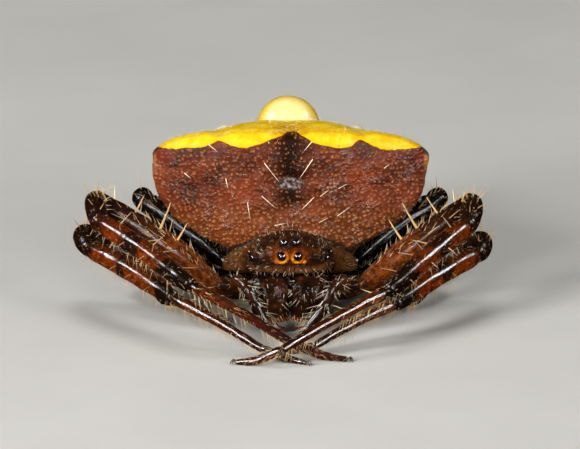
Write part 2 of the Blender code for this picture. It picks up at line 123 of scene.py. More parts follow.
def frames_along(places):
    """Direction, side and up at each place, with up as near +Z as it can be."""
    step = np.gradient(places, axis=0)
    direction = unit(step)
    side = np.cross(direction, UP)
    flat = np.linalg.norm(side, axis=1) < 0.08
    side[flat] = (1.0, 0.0, 0.0)
    side = unit(side - direction * np.sum(side * direction, axis=1, keepdims=True))
    return direction, side, np.cross(side, direction)


def wobble(points, size, seed):
    """A soft uneven value from -1 to 1 at each point, with bumps about this size apart."""
    source = np.random.default_rng(seed)
    total = np.zeros(points.shape[:-1])
    for _ in range(WAVES):
        wave = unit(source.normal(size=3)) * 2 * math.pi / (size * source.uniform(0.7, 1.6))
        total += np.sin(points @ wave + source.uniform(0, 2 * math.pi))
    return total / (WAVES / 2)


def mirrored(point, sign):
    """A point of the spider's left side, or the same one of its right side for sign -1."""
    return np.array(point, float) * (sign, 1, 1)


def seen_height(y, z):
    """The height in the photo's plane, which looks down by 16 degrees."""
    return z * VIEW_UPRIGHT + y * VIEW_TILT


# Pieces made of grids


class Surface:
    """The grids of one piece, with named values at each point."""

    def __init__(self):
        self.grids = []
        self.count = 0

    def grid(self, rows, values=None, patch=WHOLE_MAP):
        """Adds a tube of rings of points with a point at each end. Its hairs take their
        places on the unwrap from the patch."""
        rows = np.asarray(rows, float)
        r, c = rows.shape[:2]
        index = np.arange(r * c).reshape(r, c)
        after = np.roll(index, -1, axis=1)
        quads = np.stack((index[:-1], after[:-1], after[1:], index[1:]), axis=-1).reshape(-1, 4)
        first = np.stack((np.full(c, r * c), after[0], index[0]), axis=-1)
        last = np.stack((np.full(c, r * c + 1), index[-1], after[-1]), axis=-1)
        triangles = np.vstack((first, last))
        points = np.vstack((rows.reshape(-1, 3), rows[0].mean(0), rows[-1].mean(0)))
        if signed_volume(points, quads, triangles) < 0:
            quads = quads[:, ::-1]
            triangles = triangles[:, ::-1]
        flat = {}
        for key, value in (values or {}).items():
            full = np.broadcast_to(value, (r, c))
            flat[key] = np.concatenate((full.ravel(), (full[0].mean(), full[-1].mean())))
        faces = (quads + self.count, triangles + self.count)
        made = {"rows": rows, "patch": patch, "points": points, "faces": faces, "values": flat}
        self.count += len(points)
        self.grids.append(made)
        return made

    def tube(self, path, radii, rings, sides, values, dome=0.5):
        self.grid(tube_rows(path, radii, rings, sides, dome)[0], values)

    def piece(self, name, material, nodes=(), slot=None):
        values = {}
        for key in {key: None for grid in self.grids for key in grid["values"]}:
            parts = [g["values"].get(key, np.zeros(len(g["points"]))) for g in self.grids]
            values[key] = np.concatenate(parts)
        points = np.vstack([grid["points"] for grid in self.grids])
        faces = [np.vstack([grid["faces"][k] for grid in self.grids]) for k in (0, 1)]
        make_piece(name, points, faces, values, None, material, nodes)


def signed_volume(points, quads, triangles):
    """Above 0 where the faces look outwards."""
    p = points - points.mean(0)
    split = np.vstack((quads[:, (0, 1, 2)], quads[:, (0, 2, 3)], triangles))
    a, b, c = p[split[:, 0]], p[split[:, 1]], p[split[:, 2]]
    return float(np.sum(a * np.cross(b, c)))


def to_row(points):
    return (np.asarray(points, float) - ORIGIN_FROM_EYES) * MM


def add_object(name, data):
    obj = bpy.data.objects.new(name, data)
    bpy.context.scene.collection.objects.link(obj)
    return obj


def make_piece(name, points, faces, values, unwrap, material, nodes):
    """One shown object from points in millimetres, riding on the part's only body."""
    mesh = bpy.data.meshes.new(name)
    corners = np.concatenate([f.ravel() for f in faces]).astype(np.int32)
    sizes = np.concatenate([np.full(len(f), f.shape[1]) for f in faces])
    starts = np.concatenate(((0,), np.cumsum(sizes)[:-1])).astype(np.int32)
    mesh.vertices.add(len(points))
    mesh.vertices.foreach_set("co", to_row(points).astype(np.float32).ravel())
    mesh.loops.add(len(corners))
    mesh.loops.foreach_set("vertex_index", corners)
    mesh.polygons.add(len(starts))
    mesh.polygons.foreach_set("loop_start", starts)
    mesh.update(calc_edges=True)
    mesh.validate()
    mesh.shade_smooth()
    for key, value in values.items():
        store = mesh.attributes.new(key, "FLOAT", "POINT")
        store.data.foreach_set("value", value.astype(np.float32))
    if unwrap is not None:
        layer = mesh.uv_layers.new(name="OFBake")
        layer.data.foreach_set("uv", unwrap[corners].astype(np.float32).ravel())
    mesh.materials.append(material)
    obj = add_object(name, mesh)
    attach(obj, "root")
    if nodes:
        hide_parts(*nodes)


def tube_rows(points, radii, rings, sides, dome=0.5, squash=1.0, shape=None):
    """Rings of a limb's length with a dome on each end, and their shares and angles."""
    body = np.linspace(0, 1, rings)
    places = smooth_path(points, body)
    direction, side, up = frames_along(places)
    radius = along(radii, body)
    caps = np.radians(DOME_ANGLES)
    start = places[0] - direction[0] * dome * radius[0] * np.sin(caps)[:, None]
    end = places[-1] + direction[-1] * dome * radius[-1] * np.sin(caps[::-1])[:, None]
    places = np.vstack((start, places, end))
    size = np.concatenate((radius[0] * np.cos(caps), radius, radius[-1] * np.cos(caps[::-1])))
    pick = np.clip(np.arange(-len(caps), rings + len(caps)), 0, rings - 1)
    side, up, shares = side[pick], up[pick], body[pick]
    a = 2 * np.pi * (np.arange(sides) + 0.5) / sides
    across = side[:, None, :] * np.cos(a)[None, :, None] * squash
    rise = up[:, None, :] * np.sin(a)[None, :, None]
    grown = size[:, None] * np.ones(sides)[None, :]
    if shape is not None:
        grown = grown * shape(shares[:, None], a[None, :])
    rows = places[:, None, :] + (across + rise) * grown[:, :, None]
    return rows, shares, a


def sample(kept, amount, weight, seed):
    """Random places on a grid, evenly by area times weight."""
    source = np.random.default_rng(seed)
    rows = kept["rows"]
    after = np.roll(rows, -1, axis=1)
    area = np.linalg.norm(np.cross(after[:-1] - rows[:-1], rows[1:] - rows[:-1]), axis=-1)
    odds = np.cumsum((area * weight[:-1]).ravel())
    picked = np.searchsorted(odds, source.uniform(0, odds[-1], amount))
    r, c = np.unravel_index(np.clip(picked, 0, area.size - 1), area.shape)
    fr = source.uniform(0, 1, amount)[:, None]
    fc = source.uniform(0, 1, amount)[:, None]
    return at_place(kept, r, c, fr, fc)


def at_place(kept, r, c, fr, fc):
    """Point, normal, way along and place on the unwrap in cell r, c, at shares fr and fc."""
    rows = kept["rows"]
    count_r, count_c = rows.shape[:2]
    c1 = (c + 1) % count_c
    p00, p01, p10, p11 = rows[r, c], rows[r, c1], rows[r + 1, c], rows[r + 1, c1]
    near = p00 * (1 - fc) + p01 * fc
    far = p10 * (1 - fc) + p11 * fc
    point = near * (1 - fr) + far * fr
    way = far - near
    across = (p01 - p00) * (1 - fr) + (p11 - p10) * fr
    normal = unit(np.cross(across, way))
    inward = np.sum(normal * (point - rows.mean(1)[r]), axis=1) < 0
    normal[inward] *= -1
    x0, y0, x1, y1 = kept["patch"]
    u = x0 + (x1 - x0) * (0.01 + 0.98 * (r[:, None] + fr) / (count_r - 1))
    v = y0 + (y1 - y0) * (0.01 + 0.98 * (c[:, None] + fc) / (count_c - 1))
    place = np.clip(np.hstack((u, v)), MAP_MARGIN, 1 - MAP_MARGIN)
    return {"point": point, "normal": normal, "way": unit(way), "uv": place}


class Coat:
    """Hairs of one piece: thin curved spikes, each on its own small patch of the unwrap."""

    def __init__(self):
        self.points = []
        self.quads = []
        self.tips = []
        self.unwrap = []
        self.tone = []
        self.reach = []
        self.count = 0

    def add(self, root, start, bend, length, width, tone, place, sides=3, steps=3):
        """Hairs from each root, setting out along start and curving by bend. Those that
        point down are cut short above the floor."""
        n = len(root)
        length = np.broadcast_to(length, n)[:, None]
        start = unit(start)
        drop = -(start + bend)[:, 2:]
        room = np.maximum(root[:, 2:] - FLOOR_GAP, SHORTEST_HAIR)
        length = np.where(drop > 0, np.minimum(length, room / np.maximum(drop, 1e-6)), length)
        side = unit(np.cross(start, np.array((0.31, 0.53, 0.79))))
        other = np.cross(start, side)
        rings = []
        spots = []
        for step in range(steps):
            t = step / steps
            centre = root + start * length * t + bend * length * t * t - start * ROOT_DEPTH
            size = np.broadcast_to(width, n)[:, None] * 0.5 * (1 - t) ** 0.6
            for k in range(sides):
                a = 2 * math.pi * k / sides
                rings.append(centre + (side * math.cos(a) + other * math.sin(a)) * size)
                turn = np.array((math.cos(a), math.sin(a))) * HAIR_PATCH * (1 - 0.8 * t)
                spots.append(place + turn)
        tip = root + start * length + bend * length
        per = sides * steps + 1
        base = self.count + np.arange(n)[:, None] * per
        for low in range(0, per - 1, sides):
            for k in range(low, low + sides):
                after = low + (k + 1 - low) % sides
                if low + sides < per - 1:
                    self.quads.append(base + np.array((k, after, after + sides, k + sides)))
                else:
                    self.tips.append(base + np.array((k, after, per - 1)))
        self.points.append(np.stack([*rings, tip], axis=1).reshape(-1, 3))
        self.unwrap.append(np.stack([*spots, place], axis=1).reshape(-1, 2))
        self.tone.append(np.repeat(np.broadcast_to(tone, n), per))
        share = np.repeat(np.arange(steps) / steps, sides)
        self.reach.append(np.tile(np.concatenate((share, (1.0,))), n))
        self.count += n * per

    def piece(self, name, material, slot):
        values = {"tone": np.concatenate(self.tone), "reach": np.concatenate(self.reach)}
        faces = [np.vstack(self.quads), np.vstack(self.tips)]
        points, unwrap = np.vstack(self.points), np.vstack(self.unwrap)
        make_piece(name, points, faces, values, unwrap, material, ())


def lay_hairs(coat, found, length, width, lean, tone, seed, curve=0.14, steps=2, stray=0.16):
    """Hairs at sampled places, leaning along the limb by this share of upright."""
    source = np.random.default_rng(seed)
    n = len(found["point"])
    jitter = source.normal(size=(n, 3)) * stray
    start = unit(found["normal"] * (1 - lean) + found["way"] * lean + jitter)
    bend = (found["way"] - found["normal"] * 0.3) * curve * source.uniform(0.2, 1.0, (n, 1))
    size = length * source.uniform(0.65, 1.25, n)
    tones = np.clip(tone + source.normal(size=n) * 0.12, 0, 1)
    coat.add(found["point"], start, bend, size, width, tones, found["uv"], 3, steps)


# Materials


def srgb(r, g, b):
    out = []
    for value in (r, g, b):
        x = value / 255
        out.append(x / 12.92 if x <= 0.04045 else ((x + 0.055) / 1.055) ** 2.4)
    return (*out, 1.0)


class Shader:
    """A material whose nodes are added by short calls. What a node is given may be another
    node's output, the name of a value of the mesh, a number, or a colour from 0 to 255."""

    def __init__(self, name, roughness=0.4, specular=0.5, coat=0.0, coat_roughness=0.1):
        self.material = bpy.data.materials.new(name)
        self.material.use_nodes = True
        self.tree = self.material.node_tree
        self.inputs = self.tree.nodes["Principled BSDF"].inputs
        for key, value in (
            ("Roughness", roughness), ("Specular IOR Level", specular),
            ("Coat Weight", coat), ("Coat Roughness", coat_roughness),
        ):
            self.inputs[key].default_value = value
        scaled = self.node("Mapping", {"Vector": self.node("TexCoord").outputs["Object"]})
        scaled.inputs["Scale"].default_value = (1 / MM, 1 / MM, 1 / MM)
        self.place = scaled.outputs["Vector"]

    def put(self, target, value):
        if isinstance(value, str):
            value = self.attribute(value)
        if isinstance(value, bpy.types.NodeSocket):
            self.tree.links.new(value, target)
        else:
            target.default_value = srgb(*value) if isinstance(value, tuple) else value

    def node(self, kind, inputs=None, **settings):
        made = self.tree.nodes.new("ShaderNode" + kind)
        for key, value in settings.items():
            setattr(made, key, value)
        for key, value in (inputs or {}).items():
            self.put(made.inputs[key], value)
        return made

    def attribute(self, name):
        return self.node("Attribute", attribute_name=name).outputs["Fac"]

    def noise(self, scale, detail=3.0, roughness=0.55, place=None):
        inputs = {"Vector": place or self.place, "Scale": scale, "Detail": detail}
        return self.node("TexNoise", {**inputs, "Roughness": roughness}).outputs["Fac"]

    def cells(self, scale, feature="F1", place=None, shape="3D", even=1.0, output="Distance"):
        inputs = {"Vector": place or self.place, "Scale": scale, "Randomness": even}
        made = self.node("TexVoronoi", inputs, feature=feature, voronoi_dimensions=shape)
        return made.outputs[output]

    def maths(self, operation, a, b=0.0, c=0.0):
        return self.node("Math", {0: a, 1: b, 2: c}, operation=operation).outputs[0]

    def times(self, a, b):
        return self.maths("MULTIPLY", a, b)

    def scaled(self, value, by, more):
        return self.maths("MULTIPLY_ADD", value, by, more)

    def ramp(self, value, *stops):
        made = self.node("ValToRGB", {"Fac": value})
        elements = made.color_ramp.elements
        while len(elements) < len(stops):
            elements.new(0.5)
        for element, (where, _) in zip(elements, stops):
            element.position = where
        for element, (_, color) in zip(elements, stops):
            element.color = srgb(*color)
        return made.outputs["Color"]

    def range(self, value, low, high, to_low=0.0, to_high=1.0):
        inputs = {"Value": value, "From Min": low, "From Max": high}
        inputs.update({"To Min": to_low, "To Max": to_high})
        return self.node("MapRange", inputs, interpolation_type="SMOOTHSTEP").outputs["Result"]

    def clouds(self, low, high, *noise):
        """Soft patches: 0 where the noise is below low and 1 where it is above high."""
        return self.range(self.noise(*noise), low, high)

    def specks(self, low, high, *cells):
        """1 within low of each cell's middle, or of its edges, and 0 beyond high."""
        return self.range(self.cells(*cells), low, high, 1.0, 0.0)

    def mix(self, share, a, b):
        return self.node("Mix", {0: share, 6: a, 7: b}, data_type="RGBA").outputs[2]

    def layers(self, color, *layers):
        """Colours laid over the first one in turn, by a share, times an amount from 0 to 1."""
        for share, amount, top in layers:
            color = self.mix(share if amount == 1 else self.times(share, amount), color, top)
        return color

    def bump(self, height, microns, strength=1.0, normal=None):
        inputs = {"Distance": microns * 1e-6, "Strength": strength, "Height": height}
        if normal is not None:
            inputs["Normal"] = normal
        return self.node("Bump", inputs).outputs["Normal"]

    def warp(self, amount, scale, place=None):
        """A place moved by noise, for edges that aren't drawn with a ruler."""
        drift = self.node("TexNoise", {"Vector": self.place, "Scale": scale}).outputs["Color"]
        inputs = {0: drift, 2: place or self.place}
        moved = self.node("VectorMath", inputs, operation="MULTIPLY_ADD")
        moved.inputs[1].default_value = (amount, amount, amount)
        return moved.outputs["Vector"]

    def finish(self, color, normal=None, roughness=None):
        for key, value in (("Base Color", color), ("Normal", normal), ("Roughness", roughness)):
            if value is not None:
                self.put(self.inputs[key], value)
        return self.material


def leg_material(name, stops, dark, relief=1.0, wax=0.6):
    """Banded leg: stops give the colour at each station, from the coxa 0 to the claw 6.
    The relief is how coarse the cuticle is, and the wax how shiny the slim lengths are."""
    s = Shader(name, 0.2, 0.24)
    station = s.attribute("station")
    moved = s.maths("ADD", station, s.scaled(s.noise(3.2, 5, 0.65), 0.44, -0.22))
    bands = s.ramp(s.maths("DIVIDE", moved, 6.0), *[(where / 6, rgb) for where, rgb in stops])
    slim = s.range(station, 3.98, 4.15)
    coarse = s.range(station, 2.9, 3.1, 0.8 * relief, 0.36)
    coarse = s.times(s.scaled(slim, -0.85, 1.0), coarse)
    ring = s.times(s.specks(0.03, 0.2, 5.0), coarse)
    color = s.layers(
        bands,
        (s.clouds(0.42, 0.58, 7.0, 6, 0.72), 0.74, dark),
        (ring, 0.3, (176, 104, 50)),
        (s.range("dorsal", 0.25, 0.9), 0.5, dark),
    )
    normal = s.bump(ring, 26, 0.9)
    normal = s.bump(s.times(s.noise(15.0, 4, 0.6), coarse), 11, 0.8, normal)
    gloss = s.times(s.range(s.noise(9.0, 3), 0.3, 0.7, 0.1, 0.22), s.scaled(slim, -0.3, 1.0))
    s.put(s.inputs["Specular IOR Level"], s.scaled(slim, wax, 0.2))
    return s.finish(color, normal, gloss)


ORANGE = (128, 50, 4)
DARK = (38, 17, 7)
BLACK = (18, 8, 4)
RED_BROWN = (78, 24, 10)
FRONT_START = (
    # From station 1.1 to 1.45 the femur's own orange is painted lighter: painted light that makes
    # up for the shade on the femur's base
    (0.0, DARK), (0.9, (66, 32, 12)), (1.1, (150, 72, 20)), (1.45, (156, 74, 18)),
    (1.62, (80, 35, 10)), (1.9, (34, 15, 7)), (2.5, (44, 19, 6)), (3.0, (24, 10, 5)),
    (3.08, (86, 36, 10)), (3.14, ORANGE),
)
FRONT_END = (
    (4.04, BLACK), (4.12, (110, 48, 12)), (4.34, (92, 38, 12)), (4.6, RED_BROWN),
    (5.0, (56, 18, 10)), (5.4, (84, 28, 16)), (6.0, (48, 18, 12)),
)
FIRST_STOPS = (
    *FRONT_START, (3.32, ORANGE), (3.4, DARK), (3.5, DARK), (3.56, ORANGE), (3.7, ORANGE),
    (3.78, BLACK), *FRONT_END,
)
SECOND_STOPS = (
    *FRONT_START, (3.42, ORANGE), (3.46, DARK), (3.52, DARK), (3.56, ORANGE), (3.8, ORANGE),
    (3.87, BLACK), *FRONT_END,
)
# The back legs' banding is a darker copy of the front legs' banding: painted shade for where they
# stand, behind and under the body
BACK_SHADED_STOPS = (
    (0.0, (34, 18, 8)), (0.8, (46, 24, 10)), (1.3, (26, 14, 9)), (2.2, BLACK),
    (3.1, (40, 19, 9)), (3.3, (86, 38, 12)), (3.45, BLACK), (3.7, (76, 33, 12)), (3.9, BLACK),
    (4.3, (56, 23, 11)), (5.0, (42, 16, 8)), (6.0, (36, 15, 9)),
)
PALP_STOPS = (
    (0, DARK), (1, (84, 40, 10)), (2, (98, 48, 10)), (3.4, (58, 25, 8)), (6, (36, 14, 7)),
)


def hair_material(name, low, high, roughness=0.35):
    s = Shader(name, roughness, 0.5)
    color = s.ramp("tone", (0.0, low), (1.0, high))
    color = s.layers(color, ("reach", 0.2, (250, 232, 204)))
    return s.finish(color, s.bump(s.noise(40.0, 2), 2, 0.5))


def eye_material(name):
    """A dark lens, clear and very glossy, with a little red deep in it."""
    s = Shader(name, 0.05, 0.8, 0.4, 0.05)
    return s.finish(s.mix(s.clouds(0.3, 0.7, 12.0, 2), (6, 3, 3), (20, 7, 5)))


# Legs

JOINTS = {
    "leg1": (
        (1.02, 1.34, 0.9), (1.5, 1.06, 0.97), (2.0, 0.95, 1.14), (3.45, 1.75, 2.03),
        (5.43, 2.88, 3.06), (5.28, 1.4, 2.82), (2.78, -1.7, 1.92), (0.0, -2.33, 0.45),
        (-1.55, -2.74, 0.11),
    ),
    "leg2": (
        (1.05, 1.98, 0.86), (1.58, 1.9, 0.84), (2.1, 1.92, 0.88), (3.5, 2.5, 1.16),
        (5.72, 3.46, 1.86), (5.56, 2.05, 1.88), (3.25, -0.78, 1.28), (0.78, -2.26, 0.24),
        (-0.42, -3.07, 0.1),
    ),
    "leg3": (
        (1.02, 2.58, 0.84), (1.55, 2.64, 0.82), (2.05, 2.8, 0.9), (2.95, 3.6, 1.1),
        (3.95, 4.4, 1.32), (4.3, 3.95, 0.86), (3.5, 2.3, 0.33), (2.45, 1.55, 0.2),
        (1.75, 1.15, 0.1),
    ),
    "leg4": (
        (0.84, 3.22, 0.84), (1.3, 3.5, 0.84), (1.8, 3.85, 0.95), (2.9, 4.6, 1.66),
        (4.15, 5.36, 2.34), (4.05, 6.4, 2.0), (2.55, 8.4, 0.72), (1.85, 6.2, 0.24),
        (1.6, 5.1, 0.11),
    ),
}
# The left side's front legs, from the knee on, as they cross the other side's
LEFT_ENDS = {
    "leg1": (
        (5.08, 2.88, 2.98), (4.95, 1.4, 2.74), (2.75, -1.65, 1.75), (-0.19, -3.2, 0.5),
        (-1.46, -3.02, 0.11),
    ),
    "leg2": (
        (5.3, 3.42, 1.66), (5.2, 2.05, 1.72), (2.95, -0.75, 1.12), (0.68, -1.95, 0.24),
        (-0.28, -1.86, 0.1),
    ),
}
# Coxa, femur, knee and tibia radii, then the metatarsus and tarsus
THICKNESS = {
    "leg1": (0.27, 0.41, 0.3, 0.3, 0.16, 0.13),
    "leg2": (0.27, 0.38, 0.34, 0.29, 0.15, 0.12),
    "leg3": (0.26, 0.32, 0.22, 0.21, 0.14, 0.11),
    "leg4": (0.26, 0.36, 0.27, 0.26, 0.15, 0.12),
}
LEG_SIDES = 30


# For each length, its radii: share along it, which thickness and how much of it
LENGTH_RADII = (
    ((0, 0, 0.95), (0.5, 0, 1), (1, 0, 0.82)),
    ((0, 0, 0.78), (0.12, 0, 1.02), (0.45, 1, 1), (0.8, 1, 0.88), (1, 2, 0.95)),
    ((0, 2, 0.86), (0.25, 2, 1.02), (0.7, 2, 1.05), (1, 3, 0.9)),
    ((0, 3, 0.84), (0.12, 3, 1), (0.6, 3, 1.02), (0.93, 3, 0.86), (1, 3, 0.76)),
    ((0, 4, 0.95), (0.08, 4, 1.12), (0.3, 4, 0.98), (0.9, 5, 1), (1, 5, 0.96)),
    ((0, 5, 0.86), (0.1, 5, 1.02), (0.6, 5, 0.92), (1, 5, 0.55)),
)


def leg_lengths(leg, word, sign):
    """Each length's path and radii in millimetres, from the coxa to the tarsus."""
    joints = list(JOINTS[leg])
    if word == "left" and leg in LEFT_ENDS:
        joints[4:] = LEFT_ENDS[leg]
    at = [mirrored(p, sign) for p in joints]
    coxa, trochanter, femur, femur_mid, knee, patella, tibia, metatarsus, claw = at
    thickness = THICKNESS[leg]
    claw[2] = thickness[5] * 0.62
    over_knee = (knee + patella) / 2 + np.array((sign * 0.04, 0, 0.1))
    shin_middle = patella + (tibia - patella) * 0.45 + UP * 0.06
    half_way = (tibia + metatarsus) / 2 + UP * 0.05
    sole = metatarsus + (claw - metatarsus) * 0.55
    sole[2] = claw[2] + 0.2 * (metatarsus[2] - claw[2])
    paths = (
        (coxa, trochanter, femur), (femur, femur_mid, knee), (knee, over_knee, patella),
        (patella, shin_middle, tibia), (tibia, half_way, metatarsus), (metatarsus, sole, claw),
    )
    radii = [[(t, thickness[k] * much) for t, k, much in row] for row in LENGTH_RADII]
    return list(zip(paths, radii))


LEG_UNEVENNESS = 0.008
BACK_LEG_HAIRS = 0.7
# No hair is rooted lower than this on a leg
LOWEST_ROOT = 0.02
# Longer bristles than this stand upright
LONG_BRISTLE = 0.55
RINGS_PER_LENGTH = (14, 90, 30, 84, 76, 44)
DOMES = (0.5, 0.6, 0.75, 0.6, 0.5, 0.7)
SQUASH = (1.0, 0.94, 1.0, 0.96, 1.0, 1.0)

# Bristles: which length, angle from the top, shares along it, length, thickness, tone
BRISTLES = {
    "leg1": (
        (1, 0, (0.58,), 0.95, 0.078, 0.9), (1, 5, (0.44,), 0.72, 0.07, 0.9),
        (1, -8, (0.76,), 0.6, 0.06, 0.85), (1, 60, (0.6, 0.78), 0.5, 0.06, 0.6),
        (1, -60, (0.55, 0.75), 0.5, 0.06, 0.6), (2, 0, (0.3, 0.85), 0.5, 0.05, 0.8),
        (2, 32, (0.12, 0.55), 0.42, 0.05, 0.8), (2, -32, (0.2, 0.66), 0.42, 0.05, 0.8),
        (1, 20, (0.93,), 0.42, 0.06, 0.85), (1, -25, (0.9,), 0.4, 0.06, 0.85),
        (3, 15, (0.22, 0.6), 0.5, 0.06, 0.55), (3, -35, (0.3, 0.66), 0.45, 0.055, 0.55),
        (3, 75, (0.45, 0.62, 0.82), 0.5, 0.055, 0.6), (3, -80, (0.4, 0.62, 0.85), 0.5, 0.055, 0.6),
        (4, 70, (0.12, 0.4), 0.4, 0.045, 0.75), (4, -70, (0.16, 0.44), 0.4, 0.045, 0.75),
    ),
    "leg2": (
        (1, 0, (0.6, 0.84), 0.5, 0.06, 0.8), (1, 60, (0.7,), 0.45, 0.055, 0.6),
        (2, 0, (0.3, 0.85), 0.42, 0.05, 0.8), (3, 0, (0.25, 0.62), 0.42, 0.055, 0.6),
        (2, 34, (0.2, 0.6), 0.4, 0.045, 0.8), (2, -34, (0.4,), 0.4, 0.045, 0.8),
        (3, 75, (0.45, 0.62, 0.82), 0.46, 0.055, 0.6),
        (3, -80, (0.45, 0.62, 0.82), 0.46, 0.055, 0.6),
        (4, 70, (0.12, 0.4), 0.38, 0.045, 0.75), (4, -70, (0.16, 0.44), 0.38, 0.045, 0.75),
    ),
    "leg3": (
        (2, 0, (0.85,), 0.3, 0.04, 0.5), (3, 0, (0.3, 0.6), 0.26, 0.04, 0.5),
        (4, 60, (0.3,), 0.24, 0.035, 0.6),
    ),
    "leg4": (
        (1, 45, (0.6, 0.78), 0.55, 0.06, 0.6), (2, 0, (0.3, 0.85), 0.4, 0.05, 0.6),
        (3, 0, (0.3, 0.6), 0.45, 0.055, 0.6), (3, -75, (0.45, 0.65, 0.82), 0.42, 0.05, 0.6),
        (4, 70, (0.2, 0.5), 0.36, 0.045, 0.6), (4, -70, (0.3, 0.6), 0.36, 0.045, 0.6),
    ),
}

# Fine hairs: which length, amount, length, thickness, lean, tone, and where round it
FINE_HAIRS = (
    (0, 40, 0.12, 0.011, 0.6, 0.4, "all"),
    (1, 240, 0.12, 0.01, 0.78, 0.35, "all"),
    (1, 60, 0.26, 0.017, 0.5, 0.8, "top"),
    (2, 70, 0.12, 0.011, 0.75, 0.35, "all"),
    (2, 12, 0.3, 0.02, 0.4, 0.82, "top"),
    (3, 210, 0.12, 0.01, 0.78, 0.4, "all"),
    (3, 34, 0.46, 0.013, 0.42, 0.98, "under"),
    (4, 120, 0.13, 0.01, 0.72, 0.6, "all"),
    (4, 64, 0.44, 0.013, 0.45, 1.0, "under"),
    (5, 190, 0.12, 0.011, 0.6, 0.55, "all"),
    (5, 40, 0.2, 0.013, 0.5, 0.85, "under"),
)


def leg_lumps(t, a):
    """How much a leg's length swells or narrows at share t along it and angle a round it."""
    waist = 1 - 0.05 * hump(t - 0.03, 0.03)
    return waist * (1 + 0.012 * np.sin(a * 3 + t * 9) + 0.01 * np.sin(a * 5 - t * 14))


def add_bristle(bristles, kept, k, angle, share, length, thick, tone):
    """One bristle on a leg's length k, at this share of it and this angle from its top."""
    row = len(DOME_ANGLES) + int(share * (RINGS_PER_LENGTH[k] - 1))
    turn = math.radians(90 - angle)
    col = int(round(turn / (2 * math.pi) * LEG_SIDES - 0.5)) % LEG_SIDES
    spot = at_place(kept, np.array([row]), np.array([col]), CELL_MIDDLE, CELL_MIDDLE)
    lean, curve = (-0.12, 0.04) if length > LONG_BRISTLE else (0.45, 0.09)
    start = unit(spot["normal"] + spot["way"] * lean)
    bend = spot["way"] * curve
    bristles.add(spot["point"], start, bend, length, thick, tone, spot["uv"], 7, 6)


def make_leg(leg, word, sign, mats):
    name = f"{leg}_{word}"
    skin = Surface()
    coat = Coat()
    bristles = Coat()
    sections = leg_lengths(leg, word, sign)
    seed = 100 * int(leg[-1]) + (10 if sign > 0 else 0)
    size = 1.0 if leg in LEFT_ENDS else BACK_LEG_HAIRS
    for k, (path, radii) in enumerate(sections):
        rows, shares, angles = tube_rows(
            path, radii, RINGS_PER_LENGTH[k], LEG_SIDES, DOMES[k], SQUASH[k], leg_lumps
        )
        uneven = wobble(rows, 0.5, seed)[..., None] * LEG_UNEVENNESS
        rows = rows + unit(rows - rows.mean(1, keepdims=True)) * uneven
        rows[..., 2] = np.maximum(rows[..., 2], 0.0)
        dorsal = np.sin(angles)[None, :]
        values = {"station": k + shares[:, None], "dorsal": dorsal}
        kept = skin.grid(rows, values, (k / 6, 0.0, (k + 1) / 6, 1.0))
        weights = {"all": 1.0, "top": ease(0.3, 0.9, dorsal), "under": ease(0.1, 0.8, -dorsal)}
        for which, amount, length, thick, lean, tone, where in FINE_HAIRS:
            if which == k:
                weight = weights[where] * (rows[..., 2] > LOWEST_ROOT)
                found = sample(kept, int(amount * size), weight, seed + k + amount)
                stray, curve = (0.06, 0.02) if length > 0.3 else (0.14, 0.1)
                look = (length * size, thick, lean, tone, seed + amount, curve, 2, stray)
                lay_hairs(coat, found, *look)
        for which, angle, places, length, thick, tone in BRISTLES[leg]:
            for share in places if which == k else ():
                # Of a row of short bristles, each is thinner than the one before it
                thick *= 1 if length > LONG_BRISTLE else 0.72
                add_bristle(bristles, kept, k, sign * angle, share, length, thick, tone)
    nodes = [f"{name}_{part}" for part in ("femur", "tibia", "foot")]
    skin.piece(f"skin_{name}", mats.get(leg, mats["leg_back_shaded"]), nodes, "leg_cuticle")
    coat.piece(f"hair_{name}", mats["hair_leg"], "foot_cuticle")
    bristles.piece(f"bristle_{name}", mats["bristle"], "leg_cuticle")
    make_claws(name, sections[5][0], THICKNESS[leg][5], mats)


def make_claws(name, path, radius, mats):
    """The two comb-like claws and the small third one at the end of a tarsus."""
    claws = Surface()
    before, tip = path[-2], path[-1]
    way = unit((tip - before)[None])[0]
    way[2] = 0
    way = unit(way[None])[0]
    side = np.cross(way, UP)
    for offset, reach in ((-0.045, 0.16), (0.045, 0.16), (0.0, 0.1)):
        root = tip + side * offset + way * radius * 0.3 + UP * 0.02
        middle = root + way * reach * 0.6 + UP * 0.035
        end = root + way * reach - UP * (root[2] - 0.012)
        radii = ((0, 0.024), (0.5, 0.02), (1, 0.005))
        rows = tube_rows((root, middle, end), radii, 12, 10, 0.6)[0]
        rows[..., 2] = np.maximum(rows[..., 2], 0.0)
        claws.grid(rows, {"reach": np.linspace(0, 1, len(rows))[:, None]})
    claws.piece(f"claws_{name}", mats["claw"], (), "fang")


# The carapace and its underside

HALF = (
    (-0.12, 0.97), (0.3, 1.16), (0.9, 1.21), (1.35, 1.22), (1.8, 1.58), (2.3, 1.89),
    (2.8, 1.82), (3.3, 1.4), (3.75, 0.72), (3.95, 0.3),
)
TOP = (
    (-0.12, 2.48), (0.3, 2.64), (0.9, 2.72), (1.38, 2.6), (1.8, 2.32), (2.3, 1.99),
    (2.8, 1.76), (3.3, 1.58), (3.75, 1.44), (3.95, 1.36),
)
MIDDLE = ((-0.12, 1.98), (0.5, 1.86), (1.4, 1.58), (2.1, 1.27), (3.75, 1.2))
BOTTOM = (
    (-0.12, 1.76), (0.25, 1.68), (0.6, 1.46), (1.4, 1.3), (2.1, 1.14), (3.75, 1.06),
    (3.95, 1.15),
)
# The mound that carries the middle eyes, and the pit on the thorax
HEAD_MOUND = np.array((0.0, 0.2, 2.38))
HEAD_MOUND_SIZE = np.array((0.46, 0.36, 0.43))
PIT_Y = 2.35
# How square the carapace is across, and the gap that the abdomen keeps to it
CARAPACE_POWER = 2.2
CARAPACE_ROOF_POWER = 2.1
CARAPACE_GAP = 0.14
HEAD_SIDES = 160
LENS_RINGS = 40
LENS_SIDES = 48
